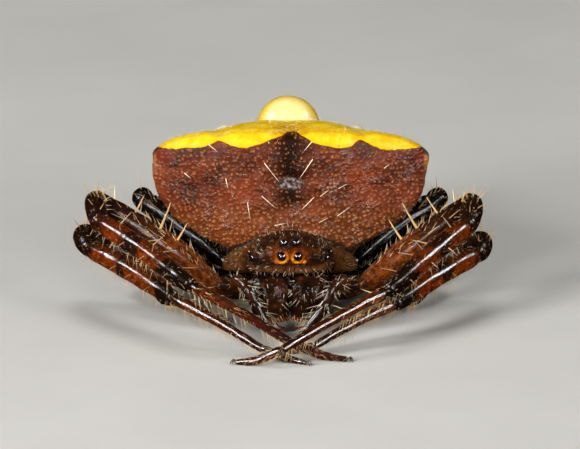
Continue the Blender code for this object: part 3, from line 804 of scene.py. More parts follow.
# The left eyes: middle, radius and the way they face
EYES = {
    "eye_front_middle": ((0.218, -0.13, 2.265), 0.128, (0.2, -1.0, 0.12)),
    "eye_rear_middle": ((0.175, 0.06, 2.61), 0.115, (0.22, -0.85, 0.5)),
    "eye_front_side": ((1.01, 0.17, 2.16), 0.08, (0.75, -0.7, 0.0)),
    "eye_rear_side": ((1.1, 0.42, 2.24), 0.08, (0.95, 0.1, 0.35)),
}


def oval_rows(y, count, half, top, middle, bottom, powers):
    """Rings across at each y, as ovals with one power each for the sides above and below
    the middle, for the top and for the bottom."""
    a = 2 * np.pi * np.arange(count) / count
    rise, run = np.sin(a)[None, :], np.cos(a)[None, :]
    above, below, roof, base = powers
    x = half * np.where(rise >= 0, power(run, 2 / above), power(run, 2 / below))
    upper = middle + (top - middle) * np.maximum(rise, 0) ** (2 / roof)
    lower = middle - (middle - bottom) * np.maximum(-rise, 0) ** (2 / base)
    z = np.where(rise >= 0, upper, lower)
    return np.stack((x, np.broadcast_to(y, x.shape), z), axis=-1)


def carapace_rows(ys, count):
    y = ys[:, None]
    roof = along(((1.3, 2.1), (2.1, 2.7), (3.2, 2.3)), y)
    base = along(((-0.12, 2.6), (0.6, 3.2), (1.4, 3.0), (2.1, 2.4)), y)
    sizes = [along(table, y) for table in (HALF, TOP, MIDDLE, BOTTOM)]
    return oval_rows(y, count, *sizes, (CARAPACE_POWER, CARAPACE_POWER, roof, base))


def blunt_front(loop, front, depth, shares, sharpness):
    """Rings that close a loop at its front with a rounded, nearly flat face."""
    centre = loop.mean(0)
    share = np.asarray(shares, float)[:, None]
    back = depth * (1 - (1 - share**sharpness) ** (1 / sharpness))
    rows = centre + (loop - centre)[None] * share[..., None]
    rows[..., 1] = front + back + (loop[None, :, 1] - centre[1]) * share**2
    return rows


def seat_eye(rows, eye, facing, radius):
    """Shapes the skin into a seat with a low collar for one eye. Also gives how far each
    point is from the eye's axis and in which direction."""
    away = rows - eye
    height = away @ facing
    across = away - height[..., None] * facing
    far = np.linalg.norm(across, axis=-1)
    share = far / radius
    collar = radius * (0.05 + 0.4 * ease(0.85, 1.12, share) - 0.25 * ease(1.15, 1.6, share))
    near = ease(1.9, 1.25, share) * ease(4.0, 3.0, np.abs(height) / radius)
    moved = (collar - height) * near
    return rows + moved[..., None] * facing, np.where(np.abs(height) < 4 * radius, far, 9.0), across


def make_prosoma(mats):
    skin = Surface()
    ys = np.concatenate((np.linspace(0.12, 3.75, 130), (3.82, 3.88, 3.93)))
    body = carapace_rows(ys, HEAD_SIDES)
    face = blunt_front(body[0], -0.12, 0.24, np.linspace(0.02, 0.985, 46), 2.4)
    rows = np.concatenate((face, body))
    away = rows - HEAD_MOUND
    inside = np.linalg.norm(away / HEAD_MOUND_SIZE, axis=-1)
    push = np.maximum(1.0, 1 / np.maximum(inside, 0.2))
    blend = 1 + (push - 1) * ease(1.25, 0.85, inside)
    rows = HEAD_MOUND + away * blend[..., None]
    glow, eye_ring_highlight, dark = np.zeros((3, *rows.shape[:2]))
    for name, (centre, radius, out) in EYES.items():
        for sign in (1, -1):
            facing = unit(mirrored(out, sign))
            rows, far, across = seat_eye(rows, mirrored(centre, sign), facing, radius)
            # Round each front middle eye is an orange ring with lobes below it. The ring is partly
            # the cuticle's own orange and partly a painted glow, and its painted highlight is
            # brightest on the ring's lower inner side
            if name == "eye_front_middle":
                toward = (-across[..., 0] * sign * 0.5 - across[..., 2]) / np.maximum(far, 1e-6)
                ring = ease(1.66, 1.4, far / radius) * ease(-1.0, 0.1, toward)
                low = np.hypot(across[..., 0] * sign - 1.3 * radius, across[..., 2] + 1.05 * radius)
                flame = ease(0.62, 0.2, low / radius) * (far < 3 * radius)
                glow = np.maximum(glow, np.maximum(ring * 0.8, flame * 0.6))
                patchy = ease(-0.5, 0.5, wobble(rows, 0.16, 51))
                bright = np.maximum(ring * ease(0.2, 0.95, toward), flame * 0.55)
                eye_ring_highlight = np.maximum(eye_ring_highlight, bright * (0.3 + 0.7 * patchy))
            depth = 0.8 if "middle" in name else 0.35
            dark = np.maximum(dark, ease(1.5, 1.2, far / radius) * depth - glow)
    x, y, z = rows[..., 0], rows[..., 1], rows[..., 2]
    orange = hump(np.abs(x) - 0.24, 0.24) * hump(z - 2.28, 0.17) * (y < 0.4)
    slope = np.abs(np.abs(x) - (0.55 + 0.9 * (1.9 - y)))
    upper = ease(1.7, 2.1, z)
    groove = hump(slope, 0.12) * (ease(1.1, 1.75, y) * ease(2.3, 1.5, y)) * upper
    pit = hump(x, 0.1, y - PIT_Y, 0.22)
    rays = np.zeros(rows.shape[:2])
    turn = np.arctan2(x, y - PIT_Y)
    for ray in (0.75, 1.35, 1.9, 2.5):
        for sign in (1, -1):
            rays += hump(turn - sign * ray, 0.13)
    far = np.hypot(x, y - PIT_Y)
    rays = rays * ease(0.25, 0.6, far) * ease(1.7, 1.0, far) * ease(1.3, 1.5, z)
    z -= groove * 0.06 + pit * upper * 0.14 + rays * 0.03
    z += wobble(rows, 0.35, 5) * 0.008
    values = {
        "thorax": ease(1.3, 1.75, y), "groove": np.clip(groove + rays * 0.6 + pit, 0, 1),
        "glow": glow, "eye_ring_highlight": eye_ring_highlight, "dark": np.clip(dark, 0, 1), "orange": orange,
    }
    head = skin.grid(rows, values, (0.0, 0.0, 1.0, 0.6))
    make_underside(skin)
    skin.piece("skin_prosoma", mats["prosoma"], ("head", "thorax"), "carapace")
    coat = Coat()
    clear = np.ones(rows.shape[:2])
    for centre, radius, _ in EYES.values():
        for sign in (1, -1):
            clear *= np.linalg.norm(rows - mirrored(centre, sign), axis=-1) > radius * 1.5
    top = ease(2.05, 2.35, z) * (y > 0.0) * clear
    low = ease(2.1, 1.9, z) * (y < 0.4) * clear
    behind = ease(1.4, 1.8, y) * ease(1.3, 1.5, z)
    sternum = skin.grids[1]
    under = ease(1.3, 1.1, sternum["rows"][..., 2])
    lay_hairs(coat, sample(head, 130, top, 7), 0.13, 0.01, 0.7, 0.72, 8, 0.3)
    lay_hairs(coat, sample(head, 60, low, 9), 0.13, 0.011, 0.5, 0.92, 10)
    lay_hairs(coat, sample(head, 260, behind, 11), 0.13, 0.01, 0.6, 0.6, 12)
    lay_hairs(coat, sample(sternum, 320, under, 13), 0.18, 0.013, 0.35, 0.6, 14)
    coat.piece("hair_prosoma", mats["hair_pale"], "carapace")


def make_underside(skin):
    """The sternum, the two maxillae, the lip between them, and a dark tube behind the jaws that is
    painted shade.
    """
    y = np.linspace(0.92, 3.4, 50)[:, None]
    half = along(((0.92, 0.5), (1.2, 0.62), (2.0, 0.72), (2.9, 0.55), (3.4, 0.3)), y)
    a = 2 * np.pi * (np.arange(48) + 0.5) / 48
    x = half * power(np.cos(a)[None, :], 0.8)
    z = 1.08 + 0.44 * power(np.sin(a)[None, :], 0.8)
    z = np.where(y < 1.6, np.minimum(z, 1.2), z)
    rows = np.stack((x, np.broadcast_to(y, x.shape), z), axis=-1)
    plain = {"thorax": 1.0, "groove": 0.0}
    skin.grid(rows, plain, (0.0, 0.62, 0.6, 1.0))
    maxilla = ((0.42, 1.0, 1.05), (0.36, 0.85, 0.84), (0.24, 0.74, 0.66))
    for sign in (1, -1):
        path = [mirrored(p, sign) for p in maxilla]
        skin.tube(path, ((0, 0.17), (0.6, 0.17), (1, 0.12)), 16, 20, plain, 0.7)
    skin.tube(((0.0, 1.15, 0.84), (0.0, 0.98, 0.76)), ((0, 0.19), (1, 0.13)), 8, 20, plain, 0.8)
    # A dark tube behind the jaws: painted shade where the floor would show between them
    shadow_behind_jaws = ((0.0, 0.66, 1.2), (0.0, 0.56, 0.44))
    skin.tube(shadow_behind_jaws, ((0, 0.16), (1, 0.1)), 12, 20, {"dark": 1.0}, 0.8)


def make_eyes(mats):
    for name, (centre, radius, out) in EYES.items():
        for sign, word in ((1, "left"), (-1, "right")):
            facing = unit(mirrored(out, sign))
            side = unit(np.cross(facing, UP))
            up = np.cross(side, facing)
            polar = np.linspace(0.04, math.pi - 0.04, LENS_RINGS)[:, None]
            a = 2 * np.pi * np.arange(LENS_SIDES)[None, :] / LENS_SIDES
            x = np.sin(polar) * np.cos(a)
            z = np.sin(polar) * np.sin(a)
            y = np.cos(polar) * np.ones_like(a)
            ball = x[..., None] * side + z[..., None] * up + y[..., None] * facing
            lens = Surface()
            lens.grid(mirrored(centre, sign) + ball * radius)
            lens.piece(f"lens_{name[4:]}_{word}", mats["eye"], (f"{name}_{word}",), "eye_lens")


# The abdomen

ABDOMEN_HALF = (
    (2.55, 3.85), (3.2, 3.7), (4.0, 3.14), (5.0, 2.4), (6.0, 1.82), (7.0, 1.38),
    (7.7, 1.0), (8.0, 0.75),
)
ABDOMEN_WIDEST = ((2.55, 4.3), (4.0, 4.08), (5.0, 3.92), (6.0, 3.72), (8.0, 3.42))
ABDOMEN_BOTTOM = (
    (2.55, 1.5), (3.2, 1.42), (4.0, 1.02), (4.7, 0.9), (5.3, 0.9), (6.0, 1.3),
    (6.8, 2.0), (7.4, 2.55), (8.0, 3.05),
)
KNOB = np.array((-0.05, 8.0, 3.72))
KNOB_RADIUS = 0.89
# The pale bumps beside the plate and the belly's bulges, on the left
PALE_BUMP = (1.84, 5.3, 4.27)
PALE_BUMP_RADIUS = 0.27
BELLY_BULGE = (1.25, 5.1, 1.55)
BELLY_BULGE_RADIUS = 0.85
LOWEST_BELLY = 0.7
ABDOMEN_MIDDLE = np.array((0.0, 4.2, 3.2))
ABDOMEN_SIDES = 400
# Farther than anything, for points behind the front's edge of the plate
NO_EDGE = 9.0
PLATE_FRONT_Z = 5.07
PLATE_SLOPE = 0.2157
# How far down the front the yellow reaches, across from right to left: the seen height
# of its edge at each x
PLATE_EDGE = (
    (-3.85, 5.02), (-3.71, 5.05), (-3.37, 5.08), (-2.94, 5.17), (-2.57, 5.16), (-2.33, 5.22),
    (-2.09, 5.32), (-1.99, 5.37), (-1.88, 5.33), (-1.67, 5.22), (-1.27, 5.16), (-0.92, 5.24),
    (-0.5, 5.4), (-0.3, 5.47), (0.05, 5.56), (0.36, 5.47),
    (0.62, 5.32), (0.94, 5.23), (1.36, 5.15), (1.68, 5.19), (1.89, 5.35), (1.94, 5.39),
    (2.21, 5.26), (2.53, 5.14), (2.9, 5.06), (3.27, 4.98), (3.49, 4.87), (3.75, 4.83),
    (3.95, 4.8),
)


def abdomen_rows(ys, count):
    y = ys[:, None]
    sides = along(((2.55, 1.6), (3.4, 2.0), (4.4, 2.3), (5.4, 2.0), (8.0, 1.8)), y)
    belly = along(((2.55, 2.6), (4.4, 2.8), (5.4, 2.3), (8.0, 2.2)), y)
    squared = along(((2.55, 2.3), (4.0, 2.9), (6.0, 3.8), (8.0, 3.0)), y)
    top = PLATE_FRONT_Z - (y - 2.7) * PLATE_SLOPE
    half, widest = along(ABDOMEN_HALF, y), along(ABDOMEN_WIDEST, y)
    bottom = along(ABDOMEN_BOTTOM, y)
    rows = oval_rows(y, count, half, top, widest, bottom, (squared, sides, squared, belly))
    # The front's sides are swept back
    fade = np.maximum(0.0, 1 - (y - 2.55) / 3.0)
    rows[..., 1] = y + 0.35 * fade * (rows[..., 0] / 3.85) ** 2
    return rows


def swell(rows, centre, radius, soft):
    """Pushes the points near a ball out to it, with a soft edge, and says how near."""
    away = rows - centre
    far = np.linalg.norm(away, axis=-1)
    inside = far / radius
    push = np.maximum(1.0, 1 / np.maximum(inside, 0.05))
    blend = 1 + (push - 1) * ease(1 + soft, 1.0, inside)
    return centre + away * blend[..., None], inside


def close_tail(rows, kept):
    """Carries the skin from its last ring round the back of the ball at the tail."""
    last = unit(rows[-1] - KNOB)
    pole = unit(np.array((0.0, 1.0, -0.15)))
    angle = np.arccos(np.clip(last @ pole, -1, 1))
    flat = unit(last - (last @ pole)[:, None] * pole)
    shares = np.linspace(0, 1, 60)[1:-1]
    turned = angle[None, :] * (1 - shares[:, None])
    ball = np.cos(turned)[..., None] * pole + np.sin(turned)[..., None] * flat[None]
    far = np.linalg.norm(rows[-1] - KNOB, axis=-1)[None, :]
    reach = far + (KNOB_RADIUS - far) * ease(0.0, 0.3, shares)[:, None]
    more = KNOB + ball * reach[..., None]
    grown = {}
    for name, value in kept.items():
        last_row = np.ones(value.shape[1]) if name == "knob" else value[-1]
        grown[name] = np.concatenate((value, np.repeat(last_row[None], len(shares), axis=0)))
    return np.concatenate((rows, more)), grown


def make_abdomen(mats):
    skin = Surface()
    body = abdomen_rows(np.linspace(2.55, 7.8, 170), ABDOMEN_SIDES)
    shares = 1 - np.linspace(0.985, 0.006, 76) ** 1.6
    face = blunt_front(body[0], 1.95, 0.6, np.clip(shares, 0.01, 0.995), 2.6)
    rows = np.concatenate((face, body))
    x, y, z = rows[..., 0], rows[..., 1], rows[..., 2]
    height = seen_height(y, z)
    top = PLATE_FRONT_Z - (y - 2.7) * PLATE_SLOPE
    widest = along(ABDOMEN_WIDEST, y)
    # How far inside the yellow plate's edge each point is, and less than 0 outside
    front = np.where(y < 3.3, height - along(PLATE_EDGE, x), NO_EDGE)
    plate = np.minimum(front, z - (widest + 0.42 * (top - widest)))
    wedge = np.abs(x - 0.04) - 0.24 * ease(2.9, 2.2, y)
    plate = np.where((y > 2.05) & (y < 2.9), np.minimum(plate, wedge), plate)
    smudge = hump(x - 0.02, 0.55) * ease(2.05, 2.25, y) * ease(6.8, 4.4, y) * 0.75
    facing = ease(3.0, 2.4, y)
    # The relief of the skin round the plate, and then the plate's rim, lobes and tier
    relief = wobble(rows, 0.75, 21) * 0.03 + wobble(rows, 0.3, 22) * 0.012
    away = unit(rows - ABDOMEN_MIDDLE)
    rows = rows + away * (relief * ease(0.05, -0.05, plate) - 0.01)[..., None]
    rim = hump(plate - 0.12, 0.16)
    rows[..., 2] += rim * (0.03 + 0.05 * ease(4.0, 6.0, y)) * ease(-0.05, 0.05, plate)
    on_top = ease(0.0, 0.25, plate) * ease(0.0, 0.4, z - widest - 0.4 * (top - widest))
    lip = hump(y - 2.6, 0.34) * 0.07 - hump(y - 3.3, 0.3) * 0.03
    tier = ease(3.25, 4.15, y) * ease(7.3, 5.6, y) * ease(2.0, 0.6, np.abs(x))
    dip = 1 - 0.25 * hump(x, 0.3)
    valley = hump(np.abs(x) - 1.97, 0.24) + hump(x, 0.2)
    lobes = 0.05 - 0.1 * valley * ease(5.6, 3.2, y)
    rows[..., 2] += (lip + lobes + tier * dip * 0.1 + wobble(rows, 0.9, 23) * 0.014) * on_top
    patch = hump(x, 0.36, height - 4.18, 0.17) * facing
    rows[..., 1] += patch * 0.05
    rows, knob = swell(rows, KNOB, KNOB_RADIUS, 0.3)
    kept = {"knob": knob, "plate": plate, "facing": facing, "patch": patch, "smudge": smudge}
    rows, kept = close_tail(rows, kept)
    knob, plate, facing, patch, smudge = kept.values()
    x, y, z = rows[..., 0], rows[..., 1], rows[..., 2]
    height = seen_height(y, z)
    for sign in (1, -1):
        rows, _ = swell(rows, mirrored(PALE_BUMP, sign), PALE_BUMP_RADIUS, 0.35)
        rows, _ = swell(rows, mirrored(BELLY_BULGE, sign), BELLY_BULGE_RADIUS, 0.35)
    rows[..., 2] = np.maximum(rows[..., 2], LOWEST_BELLY)
    on_ball = ease(1.25, 1.05, knob)
    plate = plate * (1 - on_ball) + (z - KNOB[2] + 0.25) * on_ball
    # The knob is paler towards its front: partly a pale tip of its own, and partly painted light
    # shining through it where it faces the lamps
    toward = unit(rows - KNOB) @ unit(np.array((0.0, -0.86, 0.5)))
    bumps = np.zeros(x.shape)
    for sign in (1, -1):
        bumps += ease(0.42, 0.29, np.linalg.norm(rows - mirrored(PALE_BUMP, sign), axis=-1))
    wide = np.abs(x)
    # The skin laid flat for its grain: round the body behind, and as seen in front
    turn = np.arange(ABDOMEN_SIDES) / ABDOMEN_SIDES - 0.25
    arc = np.abs((turn + 0.5) % 1.0 - 0.5)[None, :] * 15.0
    dark_band = hump(x, 0.5 + 0.3 * ease(4.3, 5.1, height))
    values = {
        "plate": plate, "knob": ease(1.35, 1.02, knob), "knob_pale_and_lit": ease(0.35, 0.92, toward),
        # Painted shade on the front slope of the plate's raised tier
        "step": hump(y - 3.5, 0.3) * ease(2.5, 1.3, wide) * (z > 4.3),
        "grey": patch, "bumps": bumps, "smudge": smudge, "facing": facing,
        "corner": ease(3.7, 3.8, wide) * hump(height - 4.82, 0.2) * (y < 3.4),
        "middle": dark_band * ease(5.7, 5.5, height) * ease(3.2, 3.7, height) * facing,
        "notch": hump(wide - 2.0, 0.42, height - 5.05, 0.28) * facing,
        "flat_u": np.where(y < 2.75, x, arc), "flat_v": np.where(y < 2.75, z + 30, y),
        "low": ease(3.9, 3.1, height) * facing,
        "shoulder": ease(3.3, 3.6, wide) * ease(-0.5, -0.1, plate) * facing,
        "back": ease(2.9, 4.2, y),
    }
    main = skin.grid(carapace_clear(rows), values)
    skin.piece("skin_abdomen", mats["abdomen"], ("abdomen",), "abdomen_skin")
    make_abdomen_hair(main, rows, plate, mats)


def carapace_clear(rows):
    """Draws the front's middle back where it would run into the carapace below it."""
    x, y, z = rows[..., 0], rows[..., 1], rows[..., 2]
    half, top = along(HALF, y) + CARAPACE_GAP, along(TOP, y) + CARAPACE_GAP
    middle = along(MIDDLE, y)
    across = np.abs(x / half) ** CARAPACE_POWER
    reach = across + np.abs(np.maximum(z - middle, 0) / (top - middle)) ** CARAPACE_ROOF_POWER
    inside = (reach < 1) & (y < 3.9) & (z < top)
    lifted = middle + (top - middle) * np.maximum(1 - across, 0) ** (1 / CARAPACE_ROOF_POWER)
    out = rows.copy()
    out[..., 2] = np.where(inside, np.maximum(z, lifted), z)
    return out


# Bristles on the abdomen's front, from and to in the photo's plane, in millimetres
FRONT_BRISTLES = (
    (-0.69, 4.75, -0.25, 4.22), (0.64, 4.83, 0.25, 4.28), (-0.75, 3.83, -0.33, 3.5),
    (0.64, 3.78, 0.25, 3.42), (0.81, 3.83, 1.06, 4.06), (1.33, 4.03, 1.56, 4.19),
    (1.31, 3.28, 1.67, 3.58), (0.78, 3.11, 1.03, 3.28), (-1.14, 3.67, -1.06, 3.19),
    (-1.78, 4.33, -1.72, 4.08), (-2.25, 5.25, -1.97, 5.06), (-0.56, 5.33, -0.28, 5.0),
    (0.64, 5.31, 0.42, 5.08), (-0.06, 3.03, -0.1, 3.2), (0.06, 3.03, 0.08, 3.2),
    (-0.42, 3.05, -0.12, 3.14), (2.6, 4.6, 2.75, 4.75), (-2.9, 4.5, -2.7, 4.38),
)


def make_abdomen_hair(main, rows, plate, mats):
    coat = Coat()
    off_plate = ease(0.02, -0.05, plate) * (rows[..., 1] < 7.4)
    behind = ease(3.0, 3.6, rows[..., 1]) * off_plate
    on_plate = ease(0.05, 0.15, plate)
    lay_hairs(coat, sample(main, 1500, off_plate, 31), 0.11, 0.012, 0.4, 0.55, 32)
    lay_hairs(coat, sample(main, 1500, behind, 33), 0.2, 0.014, 0.45, 0.6, 34)
    lay_hairs(coat, sample(main, 260, on_plate, 35), 0.12, 0.01, 0.3, 0.9, 36)
    points = rows.reshape(-1, 3)
    heights = seen_height(points[:, 1], points[:, 2])
    for x0, h0, x1, h1 in FRONT_BRISTLES:
        gap = np.hypot(points[:, 0] - x0, heights - h0)
        pick = int(np.argmin(np.where(points[:, 1] < 3.0, gap, 99)))
        r, c = np.divmod([pick], rows.shape[1])
        spot = at_place(main, np.clip(r, 0, rows.shape[0] - 2), c, CELL_MIDDLE, CELL_MIDDLE)
        lift = np.array(((x1 - x0), -0.16, (h1 - h0) / VIEW_UPRIGHT))
        reach = float(np.linalg.norm(lift))
        bend = np.array(((0, 0.1, 0.0),))
        coat.add(spot["point"], lift[None], bend, reach, 0.028, 0.95, spot["uv"], 6, 6)
    coat.piece("hair_abdomen", mats["hair_pale"], "abdomen_skin")


def make_pedicel(mats):
    skin = Surface()
    path = ((0, 3.86, 1.24), (0, 4.08, 1.22), (0, 4.32, 1.24))
    radii = ((0, 0.2), (0.5, 0.16), (1, 0.22))
    skin.tube(path, radii, 20, 32, {"thorax": 1.0, "groove": 0.4})
    skin.piece("skin_pedicel", mats["prosoma"], ("pedicel",), "thorax_cuticle")


def make_spinnerets(mats):
    skin = Surface()
    base = ((0, 5.42, 0.74), (0, 5.6, 0.44))
    skin.tube(base, ((0, 0.42), (1, 0.32)), 20, 40, {"station": 0.3, "dorsal": 0.0})
    for sign in (1, -1):
        for y, reach, thick in ((5.42, 0.32, 0.15), (5.74, 0.3, 0.14), (5.58, 0.22, 0.08)):
            near = sign * (0.14 if thick > 0.1 else 0.06)
            path = ((near, y, 0.46), (near * 0.8, y + 0.1, 0.46 - reach))
            radii = ((0, thick), (0.6, thick * 0.85), (1, thick * 0.5))
            skin.tube(path, radii, 14, 24, {"station": 0.6, "dorsal": 0.0})
    skin.piece("skin_spinnerets", mats["leg_back_shaded"], ("spinnerets",), "thorax_cuticle")


# The mouthparts

# Sizes at each height: how far out and back the middle is, and half the width and depth
CHELICERA_HEIGHTS = (0.42, 0.6, 0.85, 1.15, 1.45, 1.64)
CHELICERA = (
    (0.36, 0.44, 0.53, 0.58, 0.58, 0.56), (0.1, 0.06, 0.05, 0.09, 0.18, 0.28),
    (0.38, 0.46, 0.54, 0.59, 0.56, 0.44), (0.3, 0.4, 0.48, 0.52, 0.49, 0.36),
)
CHELICERA_CAPS = np.radians((80, 64, 46, 26))
FANG_PATH = ((0.52, 0.02, 0.34), (0.4, -0.05, 0.22), (0.26, -0.02, 0.17), (0.13, 0.06, 0.17))


def make_chelicera(word, sign, mats):
    skin = Surface()
    z = np.linspace(0.42, 1.64, 66)
    x, y, wide, deep = (along(list(zip(CHELICERA_HEIGHTS, sizes)), z) for sizes in CHELICERA)
    a = 2 * np.pi * np.arange(56) / 56
    # Each ring's row of the tables, share of its size and height: a cap, the body, a cap
    rings = [(0, math.cos(c), z[0] - 0.07 * math.sin(c)) for c in CHELICERA_CAPS]
    rings += [(k, 1.0, level) for k, level in enumerate(z)]
    rings += [(-1, math.cos(c), z[-1] + 0.03 * math.sin(c)) for c in CHELICERA_CAPS[::-1]]
    rows = []
    for k, share, level in rings:
        across = x[k] + wide[k] * share * np.cos(a)
        back = y[k] + deep[k] * share * np.sin(a)
        rows.append(np.stack((sign * across, back, np.full(len(a), level)), axis=-1))
    rows = np.array(rows)
    rows += unit(rows - rows.mean(1, keepdims=True)) * wobble(rows, 0.4, 41)[..., None] * 0.012
    # The inner sides of the two stop just short of each other
    inner = rows[..., 0] * sign - 0.05 * ease(0.5, 1.0, rows[..., 2]) * ease(1.7, 1.3, rows[..., 2])
    flat = 0.006 + 0.044 * ease(-0.05, 0.05, inner)
    rows[..., 0] = sign * np.where(inner < 0.05, flat, inner)
    kept = skin.grid(rows, {"tip": ease(0.62, 0.44, rows[..., 2])})
    skin.piece(f"skin_chelicera_{word}", mats["chelicera"], (f"chelicera_{word}",), "carapace")
    coat = Coat()
    facing = ease(0.3, 0.0, rows[..., 1])
    fringe = ease(0.7, 0.5, rows[..., 2]) * (rows[..., 1] < 0.2)
    everywhere = np.ones(rows.shape[:2])
    for amount, weight, seed, *look in (
        (40, facing, 43, 0.24, 0.014, 0.5, 0.95, 44, 0.08, 3),
        (80, everywhere, 45, 0.12, 0.01, 0.6, 0.3, 46),
        (46, fringe, 47, 0.26, 0.013, 0.65, 0.95, 48, 0.25, 3),
    ):
        found = sample(kept, amount, weight, seed + sign)
        found["way"] = -found["way"]
        lay_hairs(coat, found, *look)
    coat.piece(f"hair_chelicera_{word}", mats["hair_pale"], "carapace")
    fang = Surface()
    path = [mirrored(p, sign) for p in FANG_PATH]
    radii = ((0, 0.12), (0.3, 0.1), (0.7, 0.055), (1, 0.015))
    rows, shares, _ = tube_rows(path, radii, 30, 24, 0.6)
    fang.grid(rows, {"reach": shares[:, None]})
    fang.piece(f"fang_curve_{word}", mats["fang"], (f"fang_{word}",), "fang")


PALP_TIP_X = {"left": 0.3, "right": 0.48}
# Path, radii, station of the colour, and amount and length of the hairs. The last path
# ends at the tip of each side
PALP_LENGTHS = (
    (((1.02, 0.74, 1.05), (1.3, 0.55, 1.16)), ((0, 0.14), (1, 0.15)), 0, 12, 0.12),
    (
        ((1.3, 0.55, 1.16), (1.46, 0.38, 1.3), (1.52, 0.0, 1.52)),
        ((0, 0.13), (0.5, 0.19), (1, 0.17)), 1, 16, 0.16,
    ),
    (
        ((1.52, 0.0, 1.52), (1.44, -0.2, 1.6), (1.32, -0.38, 1.6)),
        ((0, 0.16), (0.5, 0.19), (1, 0.16)), 2, 14, 0.2,
    ),
    (
        ((1.3, -0.42, 1.58), (1.13, -0.62, 1.42), (1.0, -0.72, 1.15)),
        ((0, 0.14), (0.4, 0.17), (1, 0.16)), 3, 24, 0.32,
    ),
    (None, ((0, 0.14), (0.2, 0.165), (0.6, 0.13), (1, 0.07)), 5, 46, 0.36),
)


def make_palp(word, sign, mats):
    skin = Surface()
    coat = Coat()
    tip = PALP_TIP_X[word]
    foot = (
        (1.0, -0.72, 1.12), (0.84, -0.8, 0.84), ((0.84 + tip) / 2, -0.9, 0.54), (tip, -0.96, 0.3)
    )
    for n, (path, radii, station, amount, length) in enumerate(PALP_LENGTHS):
        placed = [mirrored(p, sign) for p in path or foot]
        rows, shares, angles = tube_rows(placed, radii, 22 if path else 46, 28, 0.6)
        values = {"station": station + shares[:, None], "dorsal": np.sin(angles)[None, :]}
        kept = skin.grid(rows, values, (n / 5, 0, (n + 1) / 5, 1))
        found = sample(kept, amount, np.ones(rows.shape[:2]), 61 + n + sign)
        lay_hairs(coat, found, length, 0.013, 0.5, 0.95, 70 + n, 0.03, 3, 0.07)
    nodes = (f"palp_{word}_femur", f"palp_{word}_tarsus")
    skin.piece(f"skin_palp_{word}", mats["palp"], nodes, "foot_cuticle")
    coat.piece(f"hair_palp_{word}", mats["hair_pale"], "foot_cuticle")


# Materials of the body


def prosoma_material():
    s = Shader("carapace_cuticle", 0.2, 0.05)
    split = s.node("SeparateXYZ", {0: s.place})
    z = split.outputs["Z"]
    in_front = s.range(split.outputs["Y"], -2.2, -2.6)
    broad = s.noise(2.4, 5, 0.62)
    fine = s.noise(9.0, 5, 0.62)
    top = s.ramp(broad, (0.36, (13, 5, 2)), (0.52, (42, 17, 4)), (0.7, (100, 48, 8)))
    face = s.ramp(broad, (0.36, (14, 6, 2)), (0.54, (40, 17, 4)), (0.72, (92, 42, 8)))
    clypeus = s.mix(fine, (72, 40, 20), (132, 84, 48))
    veins = s.specks(0.0, 0.14, 4.6, "DISTANCE_TO_EDGE", s.warp(0.3, 2.6))
    flame = s.mix(s.clouds(0.35, 0.65, 16.0, 3), (170, 70, 6), (224, 112, 12))
    back = s.ramp(fine, (0.3, (66, 36, 14)), (0.6, (112, 70, 32)), (0.8, (140, 94, 46)))
    spots = s.specks(0.05, 0.3, 9.0)
    color = s.layers(
        top,
        (s.times(s.range(z, 2.38, 2.26), in_front), 1, face),
        (s.times(s.range(z, 2.06, 1.84), in_front), 1, clypeus),
        (veins, 0.6, (16, 7, 3)),
        ("orange", 0.75, (152, 64, 6)),
        # The dark round the eyes, and the painted shade of the tube behind the jaws
        ("dark", 1, (22, 9, 6)),
        # The orange ring round the front middle eyes is partly its own orange and partly a painted
        # glow, followed by its painted highlight
        ("glow", 1, flame),
        ("eye_ring_highlight", 1, (255, 168, 36)),
        ("thorax", 1, back),
        ("groove", 0.55, (48, 26, 12)),
        (spots, 0.3, (34, 16, 8)),
    )
    normal = s.bump(veins, 24, 0.8, s.bump(spots, 10, 0.6))
    normal = s.bump(s.noise(5.0, 2, 0.4), 80, 0.9, normal)
    return s.finish(color, normal, s.range(broad, 0.3, 0.7, 0.06, 0.14))


def chelicera_material():
    s = Shader("chelicera_cuticle", 0.2, 0.06)
    broad = s.noise(2.8, 5, 0.62)
    color = s.ramp(broad, (0.36, (16, 8, 4)), (0.56, (44, 20, 8)), (0.74, (96, 48, 18)))
    spots = s.specks(0.04, 0.25, 12.0)
    color = s.layers(color, ("tip", 0.7, (150, 76, 14)), (spots, 0.45, (22, 10, 6)))
    normal = s.bump(s.noise(5.0, 2, 0.4), 80, 0.9, s.bump(spots, 10, 0.6))
    return s.finish(color, normal, s.range(broad, 0.3, 0.7, 0.06, 0.14))


